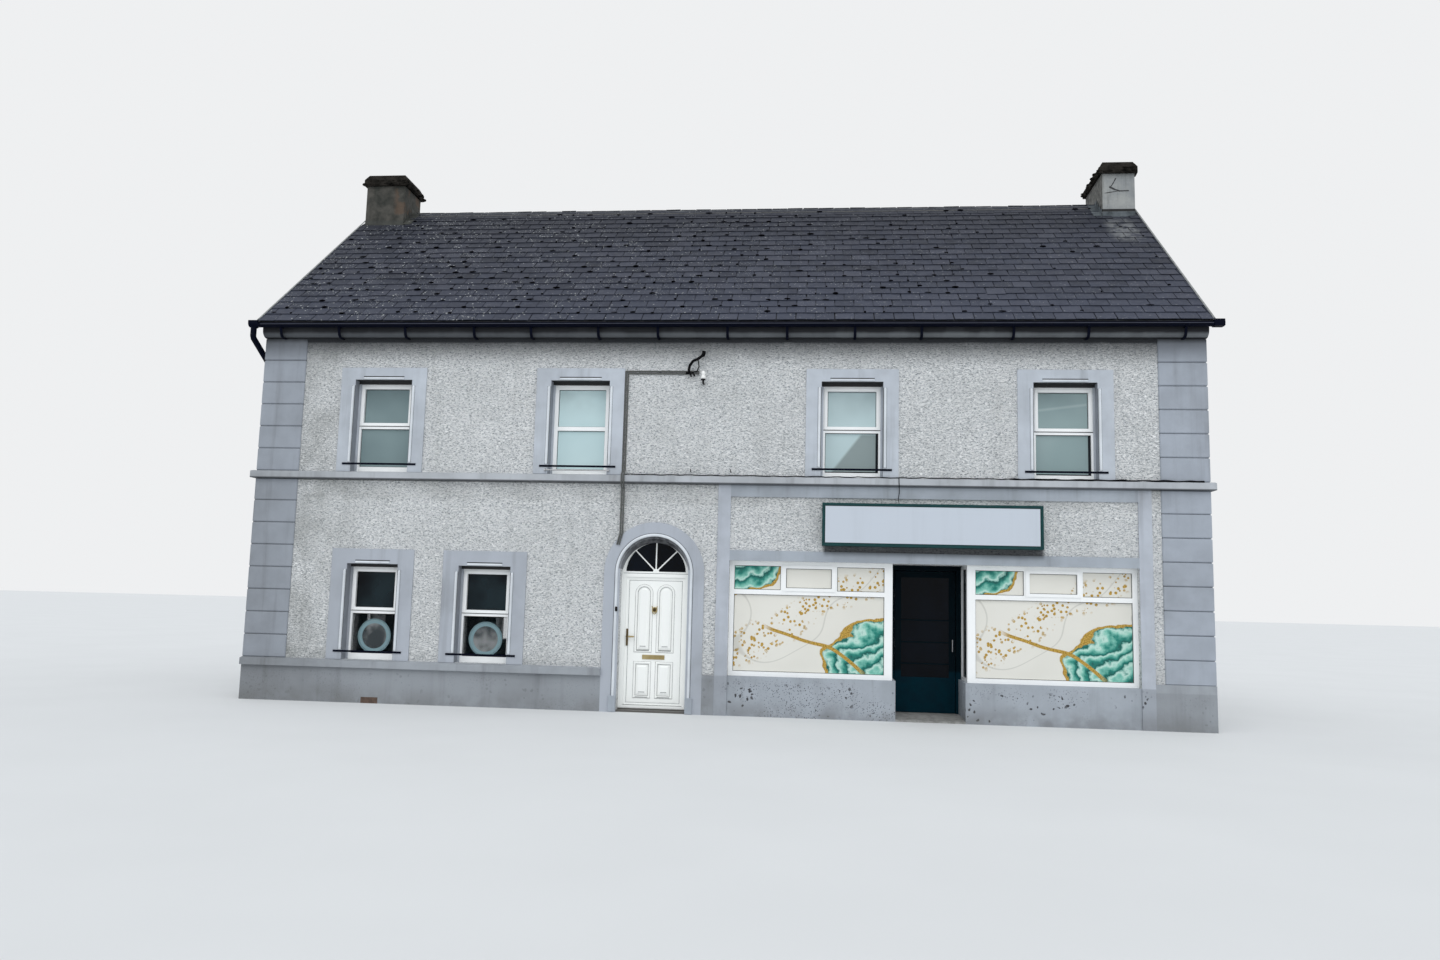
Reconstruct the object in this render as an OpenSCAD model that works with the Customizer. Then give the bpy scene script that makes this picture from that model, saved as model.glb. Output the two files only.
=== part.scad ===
// Two-storey corner shop with a house door, a shop front, a slated gable roof and two gable chimneys.
// X runs right along the front, Y runs into the house and Z up. The origin is the centre of the footprint.
// Places along the front are measured from the outer face of the left corner.

/* [Walls] */
// Length of the masonry front between the gable faces
front_w = 14260; // [14100:10:16000]
// Depth of the masonry between the front and back faces
house_d = 7200; // [6600:100:9000]
// Thickness of the outer walls
wall_t = 500; // [420:10:600]
// Height of the front and back walls at their outer face
wall_h = 5930; // [5900:10:6300]
// How far the smooth plaster trims stand out from the roughcast
trim_out = 20; // [10:1:40]
// Thickness of the ground floor slab
floor_z = 60; // [40:5:75]
// Height of the top of the first floor boards
first_floor_z = 2900; // [2750:10:3050]

/* [Roof] */
// Slope of the roof, its rise over its run
roof_pitch = 0.84; // [0.6:0.01:1.05]
// Upright thickness of the boarded and slated roof
roof_t = 60; // [40:5:100]
// How far the slates run past the gable faces
verge_out = 70; // [40:5:100]
// How far the slates run past the front and back faces
eaves_out = 200; // [150:5:220]
// Length of a ridge tile
ridge_tile_l = 450; // [300:10:600]
// Width of each wing of a ridge tile, measured level
ridge_wing = 150; // [100:10:200]

/* [Chimneys] */
// Width of the left chimney along the ridge
left_stack_w = 750; // [600:10:850]
// Width of the right chimney along the ridge
right_stack_w = 570; // [500:10:850]
// How far the left chimney reaches in front of the ridge and behind it
left_stack_y = [-490, 280]; // [-600:10:600]
// How far the right chimney reaches in front of the ridge and behind it
right_stack_y = [-460, 680]; // [-800:10:800]
// Height of the left chimney shaft above the ridge line
left_stack_rise = 380; // [200:10:700]
// Height of the right chimney shaft above the ridge line
right_stack_rise = 430; // [200:10:900]
// How far the chimney caps overhang the shafts
cap_out = 45; // [30:5:90]
// Height of a chimney cap's upright edge
cap_edge_h = 115; // [60:5:130]
// Height of the weathered slope on a chimney cap
cap_slope_h = 110; // [60:5:160]

/* [Trims] */
// Height of the underside of the string course
string_z = 3385; // [3300:5:3450]
// Height of the string course's face
string_h = 120; // [90:5:150]
// How far the string course stands out from the wall
string_out = 80; // [60:5:120]
// Height of the plinth below its band on the left part of the front
plinth_h = 522; // [480:2:540]
// Height of the band on top of the left plinth
plinth_band_h = 118; // [80:2:130]
// How far the plinth band stands out from the wall
plinth_band_out = 80; // [60:5:110]
// Width of the corner quoins on each face
quoin_w = 690; // [550:10:750]
// Number of quoin courses below the string course
lower_quoin_rows = 8; // [6:1:10]
// Number of quoin courses above the string course
upper_quoin_rows = 6; // [4:1:8]
// Width of the groove between two quoins
quoin_groove = 14; // [8:1:20]
// Width of the plaster band round an upper window
surround_w = 226; // [150:2:260]
// Height of the plaster band over an upper window
surround_head_h = 190; // [150:2:240]
// Width of the plaster band round a ground floor window
ground_surround_w = 243; // [150:2:260]
// Height of the plaster band over a ground floor window
ground_surround_head_h = 226; // [150:2:260]
// Height of the underside of the rounded plaster course below the gutter
eaves_z = 5600; // [5560:5:5640]
// How far that course stands out from the wall
eaves_course_out = 130; // [110:5:145]

/* [Windows] */
// Centres of the two left upper windows, from the left corner
upper_left_x = [1978, 5094]; // [1000:2:5300]
// Centres of the two right upper windows, from the right corner
upper_right_x = [5085, 2002]; // [1000:2:5300]
// Centres of the ground floor house windows, from the left corner
ground_window_x = [1978, 3735]; // [1200:5:4200]
// Distance between the centres of the back windows
back_window_pitch = 3270; // [2500:10:3600]
// Width of an upper window opening
upper_window_w = 914; // [800:2:1000]
// Height of an upper window opening above the string course
upper_window_h = 1440; // [1200:5:1500]
// Width of a ground floor house window opening
ground_window_w = 808; // [700:2:900]
// Height of the head of the ground floor house windows
ground_head_z = 2088; // [1950:2:2200]
// Depth of the window reveals in front of the frames
reveal_d = 150; // [80:5:200]
// Depth of the window frames
frame_d = 70; // [55:5:90]
// Face width of the window frames
frame_w = 62; // [50:2:75]
// Height of the frames' head rail
head_rail_h = 85; // [60:5:110]
// Face width of an opening light's own frame
sash_w = 45; // [35:1:55]
// How far an opening light stands out from its frame
sash_out = 15; // [8:1:25]
// Height of the bottom rail with its sill piece
sill_rail_h = 90; // [80:5:130]
// Height of the rail between the lights, measured up from the opening's foot
mid_rail_up = 720; // [600:10:800]
// Face width of the rail between the lights
mid_rail_w = 60; // [45:1:75]
// Thickness of the window glass
glass_t = 8; // [4:1:24]
// Outer radius of the round mirrors standing in the ground floor windows
ring_r = 262; // [220:2:280]
// Width of a mirror's frosted band
ring_band = 62; // [40:2:80]

/* [House door] */
// Centre of the arched doorway along the front
door_x = 6320; // [6280:5:6360]
// Width of the arched doorway
door_w = 1020; // [960:10:1060]
// Height of the springing of the arch
springing_z = 2045; // [2000:5:2150]
// Width of the plaster surround of the doorway
door_surround_w = 240; // [200:5:245]
// Depth of the reveal in front of the door frame
door_reveal_d = 150; // [110:5:200]
// Face width of the door frame behind its lip
door_frame_w = 55; // [45:1:65]
// Depth of the door frame
door_frame_d = 80; // [75:1:100]
// Thickness of the house door
door_leaf_t = 60; // [44:1:60]
// Running gap round both doors
door_gap = 8; // [6:1:9]
// Height of the concrete step in front of the house door
step_z = 30; // [20:5:35]

/* [Shop front] */
// Left edge of the shop front's opening along the front
shop_x0 = 7440; // [7400:5:7500]
// Width of the wall between the shop front's opening and the right gable's face
right_pier_w = 990; // [930:10:1200]
// Height of the head of the shop front's opening
shop_head_z = 2256; // [2200:2:2350]
// Height of the stall risers under the shop windows
riser_h = 572; // [450:2:600]
// Width of the shop doorway between the stall risers
shop_door_w = 990; // [900:10:1100]
// Depth of the doorway's recess in front of the shop door's frame
shop_recess_d = 780; // [600:10:900]
// How far the upper part of the recess is wider than its foot on each side
post_back = 40; // [20:5:60]
// Width of the smooth pilasters beside the shop front
pilaster_w = 187; // [160:1:188]
// Height of the smooth band above the shop opening
lower_band_h = 150; // [100:5:200]
// Height of the smooth band under the string course
upper_band_h = 185; // [150:5:220]
// Depth of the reveal in front of the shop windows
shop_reveal_d = 110; // [80:5:160]
// Face width of the posts beside the shop doorway
shop_post_w = 118; // [90:2:130]
// Height of the transom's centre line above the stall riser
shop_transom_up = 1228; // [1150:2:1300]
// Width of the opening top light, in its mullions' centre lines
shop_vent_w = 760; // [650:10:850]
// Thickness of the shop door
shop_leaf_t = 44; // [38:1:50]
// Face width of the shop door's stiles
shop_stile_w = 95; // [70:5:110]
// Height of the shop door's solid bottom panel
shop_kick_h = 520; // [400:10:560]

/* [Sign] */
// Length of the sign box, centred over the shop front
sign_w = 3146; // [2800:2:3400]
// Height of the sign box's underside
sign_z = 2490; // [2450:2:2520]
// Height of the sign box
sign_h = 625; // [560:5:650]
// How far the sign box stands out from the wall
sign_out = 170; // [120:5:250]
// Face width of the sign box's frame
sign_frame_w = 34; // [25:1:45]

/* [Rainwater] */
// Outer radius of the gutters
gutter_r = 62; // [50:1:65]
// Thickness of the gutters
gutter_t = 4; // [3:1:6]
// Depth of the gutter's rim below the roof's underside at the wall face
gutter_down = 135; // [130:1:175]
// How far the gutters run past the gable faces
gutter_past = 200; // [150:10:260]
// Outer radius of the downpipes
pipe_r = 34; // [28:1:45]

/* [Hidden] */
$fn = 48;

front_y = -house_d / 2;
back_y = house_d / 2;
inner_y = front_y + wall_t;
half_w = front_w / 2;
inner_x = half_w - wall_t;
// Height of the roof's underside at the wall faces, and of its top there
roof_under_z = wall_h;
roof_top_z = wall_h + roof_t;
ridge_z = roof_top_z + roof_pitch * house_d / 2;
string_top = string_z + string_h;
cut = 10;
mortar = 8;
lead_t = 4;
bracket_t = 6;

// Place along the front, measured from the outer face of the left corner
function fx(x) = x - half_w - trim_out;
// Height of the roof's top above a distance from the ridge line
function roof_at(y) = ridge_z - abs(y) * roof_pitch;

door_x0 = fx(door_x) - door_w / 2;
door_x1 = fx(door_x) + door_w / 2;
door_r = door_w / 2;
door_y = front_y + door_reveal_d;
lip_t = 14;
lip_w = 15;
// Height of the bar under the leaf, and how far the transom rises over the springing
foot_bar_h = 30;
transom_over = 20;
leaf_x0 = door_x0 + door_frame_w + door_gap;
leaf_x1 = door_x1 - door_frame_w - door_gap;
leaf_z0 = floor_z + foot_bar_h + door_gap;
transom_h = 70;
leaf_z1 = springing_z - transom_h + transom_over - door_gap;
leaf_y1 = door_y + door_frame_d;
leaf_y0 = leaf_y1 - door_leaf_t;

shop_in_x0 = fx(shop_x0);
shop_in_x1 = half_w - right_pier_w;
shop_mid = (shop_in_x0 + shop_in_x1) / 2;
shop_dx0 = shop_mid - shop_door_w / 2;
shop_dx1 = shop_mid + shop_door_w / 2;
shop_px0 = shop_dx0 - post_back;
shop_px1 = shop_dx1 + post_back;
shop_frame_d = 70;
shop_jamb_w = 75;
shop_head_h = 70;
shop_frame_y = front_y + shop_recess_d;
shop_back_y = shop_frame_y + shop_frame_d;
shop_leaf_x0 = shop_px0 + shop_jamb_w + door_gap;
shop_leaf_x1 = shop_px1 - shop_jamb_w - door_gap;
shop_leaf_z0 = floor_z + door_gap;
shop_leaf_z1 = shop_head_z - shop_head_h - door_gap;
shop_leaf_y1 = shop_back_y;
shop_leaf_y0 = shop_back_y - shop_leaf_t;
shop_win_y = front_y + shop_reveal_d;
shop_sill_z = riser_h;

plinth_top = plinth_h + plinth_band_h;
// Fall of the weathered tops of the plinth band and the string course
plinth_fall = 20;
string_fall = 18;

upper_sill_z = string_top;
upper_head_z = upper_sill_z + upper_window_h;
ground_sill_z = plinth_top;
upper_window_x = concat(upper_left_x, [for (x = upper_right_x) front_w + 2 * trim_out - x]);
back_window_x = [for (i = [-1.5, -0.5, 0.5, 1.5]) i * back_window_pitch];
gable_window_y = 0;
// The upper window, counted from zero, whose two lights are both fixed
fixed_window = 1;

// Box between pairs of bounds
module block(x, y, z) {
    translate([x[0], y[0], z[0]])
        cube([x[1] - x[0], y[1] - y[0], z[1] - z[0]]);
}

// Outline given in Y and Z, run along X between two bounds
module run_x(x0, x1, points) {
    translate([x0, 0, 0])
        rotate([90, 0, 90])
            linear_extrude(x1 - x0)
                polygon(points);
}

// Outline given in X and Z, run along Y between two bounds
module run_y(y0, y1) {
    translate([0, y1, 0])
        rotate([90, 0, 0])
            linear_extrude(y1 - y0)
                children();
}

// Round-topped doorway outline in X and Z about the door's centre line
module arch_outline(r, foot_z) {
    translate([fx(door_x), springing_z])
        circle(r, $fn = 96);
    translate([fx(door_x) - r, foot_z])
        square([2 * r, springing_z - foot_z]);
}

module ground_floor() {
    color("gray")
        block([-inner_x, inner_x], [inner_y, -inner_y], [0, floor_z]);
}

board_t = 25;
joist_h = 200;
joist_w = 50;
joist_pitch = 400;
joists = floor(2 * inner_x / joist_pitch);

module first_floor() {
    color("burlywood") {
        block([-inner_x, inner_x], [inner_y, -inner_y], [first_floor_z - board_t, first_floor_z]);
        for (i = [0 : joists - 1])
            translate([(i - (joists - 1) / 2) * joist_pitch, 0, 0])
                block([-joist_w / 2, joist_w / 2], [inner_y, -inner_y],
                      [first_floor_z - board_t - joist_h, first_floor_z - board_t]);
    }
}

// Holes for a row of windows along X
module window_holes(centres, w, z0, z1, y0, y1) {
    for (x = centres)
        block([x - w / 2, x + w / 2], [y0 - cut, y1 + cut], [z0, z1]);
}

module front_wall_left() {
    color("gainsboro")
        difference() {
            block([-half_w, door_x0], [front_y, inner_y], [0, string_z]);
            window_holes([for (x = ground_window_x) fx(x)], ground_window_w,
                         ground_sill_z, ground_head_z, front_y, inner_y);
        }
}

module door_arch_wall() {
    color("gainsboro")
        difference() {
            block([door_x0, door_x1], [front_y, inner_y], [springing_z, string_z]);
            run_y(front_y - cut, inner_y + cut)
                arch_outline(door_r, springing_z - cut);
        }
}

module front_wall_pier() {
    color("gainsboro")
        block([door_x1, shop_in_x0], [front_y, inner_y], [0, string_z]);
}

module shop_lintel_wall() {
    color("gainsboro")
        block([shop_in_x0, shop_in_x1], [front_y, inner_y], [shop_head_z, string_z]);
}

riser_return_w = 110;

// Low wall under a shop window, with its return beside the recess
module stall_riser(x0, x1, return_x) {
    difference() {
        linear_extrude(riser_h)
            polygon([[x0, front_y], [x1, front_y], [x1, shop_frame_y],
                     [return_x, shop_frame_y], [return_x, inner_y], [x0, inner_y]]);
        block([x0 - cut, x1 + cut], [inner_y, shop_frame_y + cut], [-cut, floor_z]);
    }
}

module stall_risers() {
    color("lightsteelblue") {
        stall_riser(shop_in_x0, shop_dx0, shop_dx0 - riser_return_w);
        mirror([1, 0, 0])
            stall_riser(-shop_in_x1, -shop_dx1, -shop_dx1 - riser_return_w);
    }
}

module front_wall_right() {
    color("gainsboro")
        block([shop_in_x1, half_w], [front_y, inner_y], [0, string_z]);
}

// Top of a front wall, sloped to the roof's underside
module sloped_wall(z0) {
    run_x(-half_w, half_w, [
        [front_y, z0],
        [inner_y, z0],
        [inner_y, roof_under_z + wall_t * roof_pitch],
        [front_y, roof_under_z]
    ]);
}

module front_wall_upper() {
    color("gainsboro")
        difference() {
            sloped_wall(string_z);
            window_holes([for (x = upper_window_x) fx(x)], upper_window_w,
                         upper_sill_z, upper_head_z, front_y, inner_y);
        }
}

module back_wall() {
    color("gainsboro")
        difference() {
            mirror([0, 1, 0])
                sloped_wall(0);
            window_holes(back_window_x, upper_window_w, upper_sill_z, upper_head_z, -inner_y, back_y);
            window_holes(back_window_x, ground_window_w, ground_sill_z, ground_head_z, -inner_y, back_y);
        }
}

module gable_wall(x0, x1) {
    run_x(x0, x1, [
        [inner_y, 0],
        [-inner_y, 0],
        [-inner_y, roof_under_z + wall_t * roof_pitch],
        [0, ridge_z - roof_t],
        [inner_y, roof_under_z + wall_t * roof_pitch]
    ]);
}

// Holes for the two windows of the left gable
module gable_window_holes() {
    x = [-half_w - cut, -inner_x + cut];
    block(x, [gable_window_y - upper_window_w / 2, gable_window_y + upper_window_w / 2],
          [upper_sill_z, upper_head_z]);
    block(x, [gable_window_y - ground_window_w / 2, gable_window_y + ground_window_w / 2],
          [ground_sill_z, ground_head_z]);
}

module left_gable_wall() {
    color("gainsboro")
        difference() {
            gable_wall(-half_w, -inner_x);
            gable_window_holes();
        }
}

module right_gable_wall() {
    color("gainsboro")
        gable_wall(inner_x, half_w);
}

// Plaster plinth with the sloped sill band that carries the house windows
module front_plinth() {
    color("lightsteelblue") {
        run_x(-half_w - trim_out, door_x0 - door_surround_w, [
            [front_y, 0],
            [front_y - trim_out, 0],
            [front_y - trim_out, plinth_h],
            [front_y - plinth_band_out, plinth_h],
            [front_y - plinth_band_out, plinth_h + plinth_band_h - plinth_fall],
            [front_y, plinth_h + plinth_band_h]
        ]);
        block([door_x1 + door_surround_w, shop_in_x0 - pilaster_w],
              [front_y - trim_out, front_y], [0, riser_h]);
        block([shop_in_x1 + pilaster_w, half_w + trim_out],
              [front_y - trim_out, front_y], [0, plinth_top]);
    }
}

module side_plinths() {
    color("lightsteelblue")
        for (side = [-1, 1])
            block([side * (half_w + trim_out / 2) - trim_out / 2,
                   side * (half_w + trim_out / 2) + trim_out / 2],
                  [front_y, back_y], [0, plinth_top]);
}

module back_plinth() {
    color("lightsteelblue")
        block([-half_w - trim_out, half_w + trim_out],
              [back_y, back_y + trim_out], [0, plinth_top]);
}

// Section of the string course with a weathered top, from the wall face outward
function string_section(y, side) = [
    [y, string_z],
    [y + side * string_out, string_z],
    [y + side * string_out, string_top - string_fall],
    [y, string_top]
];

module string_course_front() {
    color("lightsteelblue")
        run_x(-half_w - string_out, half_w + string_out, string_section(front_y, -1));
}

module string_course_back() {
    color("lightsteelblue")
        run_x(-half_w - string_out, half_w + string_out, string_section(back_y, 1));
}

module string_course_sides() {
    color("lightsteelblue")
        for (side = [-1, 1])
            translate([0, back_y, 0])
                rotate([90, 0, 0])
                    linear_extrude(house_d)
                        polygon(string_section(side * half_w, side));
}

// L-shaped quoin column for the front left corner, with its joints cut as grooves
module quoin_column(z0, z1, rows) {
    row_h = (z1 - z0) / rows;
    difference() {
        union() {
            block([-half_w - trim_out, -half_w - trim_out + quoin_w],
                  [front_y - trim_out, front_y], [z0, z1]);
            block([-half_w - trim_out, -half_w], [front_y - trim_out, front_y - trim_out + quoin_w],
                  [z0, z1]);
        }
        for (i = [1 : rows - 1])
            translate([0, 0, z0 + i * row_h - quoin_groove / 2]) {
                block([-half_w - trim_out - cut, -half_w + quoin_w],
                      [front_y - trim_out - cut, front_y - trim_out / 2], [0, quoin_groove]);
                block([-half_w - trim_out - cut, -half_w - trim_out / 2],
                      [front_y - trim_out - cut, front_y + quoin_w], [0, quoin_groove]);
            }
    }
}

module quoin_corner() {
    quoin_column(plinth_top, string_z, lower_quoin_rows);
    quoin_column(string_top, eaves_z, upper_quoin_rows);
}

module corner_quoins() {
    color("lightsteelblue")
        both_slopes() {
            quoin_corner();
            mirror([1, 0, 0])
                quoin_corner();
        }
}

// Three-sided plaster band round a window, drawn at the origin facing -Y
module surround(w, side_w, head_h, z0, z1) {
    difference() {
        block([-w / 2 - side_w, w / 2 + side_w], [-trim_out, 0], [z0, z1 + head_h]);
        block([-w / 2, w / 2], [-trim_out - cut, cut], [z0 - cut, z1]);
    }
}

// Puts one child at every window: child 0 upper, child 1 ground floor, child 2 the fixed one
module at_windows() {
    for (i = [0 : len(upper_window_x) - 1])
        translate([fx(upper_window_x[i]), front_y, 0])
            if (i == fixed_window)
                children(2);
            else
                children(0);
    for (x = ground_window_x)
        translate([fx(x), front_y, 0])
            children(1);
    for (x = back_window_x)
        translate([x, back_y, 0])
            rotate([0, 0, 180]) {
                children(0);
                children(1);
            }
    translate([-half_w, gable_window_y, 0])
        rotate([0, 0, -90]) {
            children(0);
            children(1);
        }
}

module upper_surround() {
    surround(upper_window_w, surround_w, surround_head_h, upper_sill_z, upper_head_z);
}

module window_surrounds() {
    color("lightsteelblue")
        at_windows() {
            upper_surround();
            surround(ground_window_w, ground_surround_w, ground_surround_head_h,
                     ground_sill_z, ground_head_z);
            upper_surround();
        }
}

// Arched plaster surround of the house door, with its jambs
module door_surround() {
    color("lightsteelblue")
        run_y(front_y - trim_out, front_y)
            difference() {
                arch_outline(door_r + door_surround_w, 0);
                arch_outline(door_r, -cut);
            }
}

module shop_pilasters() {
    color("lightsteelblue") {
        block([shop_in_x0 - pilaster_w, shop_in_x0], [front_y - trim_out, front_y], [0, string_z]);
        block([shop_in_x1, shop_in_x1 + pilaster_w], [front_y - trim_out, front_y], [0, string_z]);
    }
}

module shop_fascia_bands() {
    color("lightsteelblue") {
        block([shop_in_x0, shop_in_x1], [front_y - trim_out, front_y],
              [shop_head_z, shop_head_z + lower_band_h]);
        block([shop_in_x0, shop_in_x1], [front_y - trim_out, front_y],
              [string_z - upper_band_h, string_z]);
    }
}

// Rounded plaster course that carries the gutter brackets
module eaves_course() {
    round_r = eaves_course_out - trim_out;
    y1 = front_y - eaves_course_out;
    run_x(-half_w - trim_out, half_w + trim_out, concat(
        [[front_y, eaves_z]],
        [for (a = [0 : 15 : 90])
            [y1 + round_r - round_r * sin(a), eaves_z + round_r - round_r * cos(a)]],
        [[y1, roof_under_z - eaves_course_out * roof_pitch], [front_y, roof_under_z]]
    ));
}

module both_slopes() {
    children();
    mirror([0, 1, 0])
        children();
}

module eaves_courses() {
    color("silver")
        both_slopes()
            eaves_course();
}

gutter_y = front_y - eaves_course_out - gutter_r - bracket_t;
gutter_z = roof_under_z - gutter_down;
gutter_l = front_w + 2 * gutter_past;

// Half-round gutter with stopped ends
module gutter() {
    translate([-gutter_l / 2, gutter_y, gutter_z])
        rotate([0, 90, 0])
            difference() {
                cylinder(r = gutter_r, h = gutter_l);
                translate([0, 0, gutter_t])
                    cylinder(r = gutter_r - gutter_t, h = gutter_l - 2 * gutter_t);
                translate([-gutter_r - cut, -gutter_r - cut, -cut])
                    cube([gutter_r + cut, 2 * gutter_r + 2 * cut, gutter_l + 2 * cut]);
            }
}

module gutters() {
    color("#14151c")
        both_slopes()
            gutter();
}

bracket_w = 30;
bracket_in = 340;
// How far each bracket is set off its regular place, from left to right
bracket_shift = [-30, -130, -110, -60, -210, -210, -340, -330, -480, -520, -590, -310, -290, 20];
brackets = len(bracket_shift);
bracket_pitch = (front_w - 2 * bracket_in) / (brackets - 1);

// Strap under the gutter with a plate on the eaves course
module gutter_bracket() {
    plate_y = gutter_y + gutter_r;
    block([-bracket_w / 2, bracket_w / 2], [plate_y, plate_y + bracket_t], [gutter_z - gutter_r, gutter_z]);
    translate([-bracket_w / 2, gutter_y, gutter_z])
        rotate([0, 90, 0])
            difference() {
                cylinder(r = gutter_r + bracket_t, h = bracket_w);
                translate([0, 0, -cut])
                    cylinder(r = gutter_r, h = bracket_w + 2 * cut);
                translate([-gutter_r - 2 * cut, -gutter_r - 2 * cut, -cut])
                    cube([gutter_r + 2 * cut, 2 * gutter_r + 4 * cut, bracket_w + 2 * cut]);
            }
}

module gutter_brackets() {
    color("#14151c")
        both_slopes()
            for (i = [0 : brackets - 1])
                translate([(i - (brackets - 1) / 2) * bracket_pitch + bracket_shift[i], 0, 0])
                    gutter_bracket();
}

pipe_in = 300;
pipe_bend_down = 420;
pipe_foot_z = 60;
outlet_drop = 120;
pipe_elbow_r = pipe_r + 1;
pipe_y = front_y + pipe_in;
pipe_x = -half_w - trim_out - string_out - pipe_r;
pipe_top_z = eaves_z - pipe_bend_down;

// Straight pipe between two points
module pipe(a, b, r) {
    d = b - a;
    l = norm(d);
    translate(a)
        rotate([0, acos(d[2] / l), atan2(d[1], d[0])])
            cylinder(r = r, h = l);
}

// Swan neck from the gutter's outlet back to the gable, and the pipe down it
module downpipe() {
    outlet = [-half_w - gutter_past + 2 * pipe_r, gutter_y, gutter_z - gutter_r];
    elbow = [outlet[0], gutter_y, outlet[2] - outlet_drop];
    bend = [pipe_x, pipe_y, pipe_top_z];
    union() {
        pipe(outlet, elbow, pipe_r);
        translate(elbow)
            sphere(pipe_elbow_r);
        pipe(elbow, bend, pipe_r);
        translate(bend)
            sphere(pipe_elbow_r);
        pipe(bend, [pipe_x, pipe_y, pipe_foot_z], pipe_r);
    }
}

module downpipes() {
    color("#14151c") {
        downpipe();
        mirror([0, 1, 0])
            downpipe();
    }
}

module roof_slope() {
    tip_y = front_y - eaves_out;
    run_x(-half_w - verge_out, half_w + verge_out, [
        [0, ridge_z],
        [tip_y, roof_at(tip_y)],
        [tip_y, roof_at(tip_y) - roof_t],
        [0, ridge_z - roof_t]
    ]);
}

module roof_slope_front() {
    color("#3a3d45")
        roof_slope();
}

module roof_slope_back() {
    color("#3a3d45")
        mirror([0, 1, 0])
            roof_slope();
}

left_stack_x = [-half_w, -half_w + left_stack_w];
right_stack_x = [half_w - right_stack_w, half_w];
ridge_x0 = left_stack_x[1];
ridge_x1 = right_stack_x[0];
ridge_t = 14;
ridge_nose_w = 20;
ridge_nose_h = 10;
ridge_tiles_n = round((ridge_x1 - ridge_x0) / ridge_tile_l);
ridge_step = (ridge_x1 - ridge_x0) / ridge_tiles_n;

// Angular ridge tiles bedded with narrow mortar gaps between the chimneys
module ridge_tiles() {
    color("#33353b")
        for (i = [0 : ridge_tiles_n - 1])
            run_x(ridge_x0 + i * ridge_step, ridge_x0 + (i + 1) * ridge_step - mortar, [
                [0, ridge_z],
                [-ridge_wing, ridge_z - ridge_wing * roof_pitch],
                [-ridge_wing, ridge_z - ridge_wing * roof_pitch + ridge_t],
                [-ridge_nose_w, ridge_z - ridge_nose_w * roof_pitch + ridge_t + ridge_nose_h],
                [0, ridge_z + ridge_t + ridge_nose_h],
                [ridge_nose_w, ridge_z - ridge_nose_w * roof_pitch + ridge_t + ridge_nose_h],
                [ridge_wing, ridge_z - ridge_wing * roof_pitch + ridge_t],
                [ridge_wing, ridge_z - ridge_wing * roof_pitch]
            ]);
}

// Chimney shaft, cut to sit astride the ridge
module stack(x, y, rise) {
    run_x(x[0], x[1], [
        [y[0], roof_at(y[0])],
        [0, ridge_z],
        [y[1], roof_at(y[1])],
        [y[1], ridge_z + rise],
        [y[0], ridge_z + rise]
    ]);
}

module chimney_stacks() {
    color("lightgray") {
        stack(left_stack_x, left_stack_y, left_stack_rise);
        stack(right_stack_x, right_stack_y, right_stack_rise);
    }
}

cap_in = 20;

// Overhanging cap with weathered slopes on all four sides
module stack_cap(x, y, rise) {
    z0 = ridge_z + rise;
    z1 = z0 + cap_edge_h;
    out = cap_out;
    hull() {
        block([x[0] - out, x[1] + out], [y[0] - out, y[1] + out], [z0, z1]);
        block([x[0] + cap_in, x[1] - cap_in], [y[0] + cap_in, y[1] - cap_in], [z0, z1 + cap_slope_h]);
    }
}

module chimney_caps() {
    color("#4a4540") {
        stack_cap(left_stack_x, left_stack_y, left_stack_rise);
        stack_cap(right_stack_x, right_stack_y, right_stack_rise);
    }
}

lead_foot = 140;
lead_upstand = 110;

// Lead strip that laps the roof and turns up a shaft's front face
module flashing(x, y) {
    run_x(x[0], x[1], [
        [y, roof_at(y)],
        [y - lead_foot, roof_at(y - lead_foot)],
        [y - lead_foot, roof_at(y - lead_foot) + lead_t],
        [y - lead_t, roof_at(y - lead_t) + lead_t],
        [y - lead_t, roof_at(y) + lead_upstand],
        [y, roof_at(y) + lead_upstand]
    ]);
}

module chimney_flashings() {
    color("dimgray") {
        flashing(left_stack_x, left_stack_y[0]);
        flashing(right_stack_x, right_stack_y[0]);
        mirror([0, 1, 0]) {
            flashing(left_stack_x, -left_stack_y[1]);
            flashing(right_stack_x, -right_stack_y[1]);
        }
    }
}

// Lap of an opening light over its frame, and the inner rim of a fixed light
sash_lap = 12;
fixed_rim = 26;

// Two-light frame, its top light opening or fixed, drawn at the origin facing -Y
module casement(w, z0, z1, opening) {
    y0 = reveal_d;
    y1 = reveal_d + frame_d;
    mid_z = z0 + mid_rail_up * (z1 - z0) / upper_window_h;
    light_x = w / 2 - frame_w;
    low_x = light_x - (opening ? 0 : fixed_rim);
    difference() {
        union() {
            block([-w / 2, w / 2], [y0, y1], [z0, z1]);
            if (opening)
                block([-light_x - sash_lap, light_x + sash_lap], [y0 - sash_out, y0 + cut],
                      [mid_z + mid_rail_w / 2 - sash_lap, z1 - head_rail_h + sash_lap]);
        }
        block([-low_x, low_x], [y0 - cut, y1 + cut], [z0 + sill_rail_h, mid_z - mid_rail_w / 2]);
        upper_light_hole(w, z1, mid_z, opening);
    }
}

// How far a light's glass is set in from the outer frame's opening
function light_inset(opening) = opening ? sash_w - sash_lap : fixed_rim;

// Hole of the top light, smaller where the light opens
module upper_light_hole(w, z1, mid_z, opening) {
    inset = light_inset(opening);
    foot = opening ? inset : 0;
    light_x = w / 2 - frame_w - inset;
    block([-light_x, light_x], [reveal_d - sash_out - cut, reveal_d + frame_d + cut],
          [mid_z + mid_rail_w / 2 + foot, z1 - head_rail_h - inset]);
}

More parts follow.
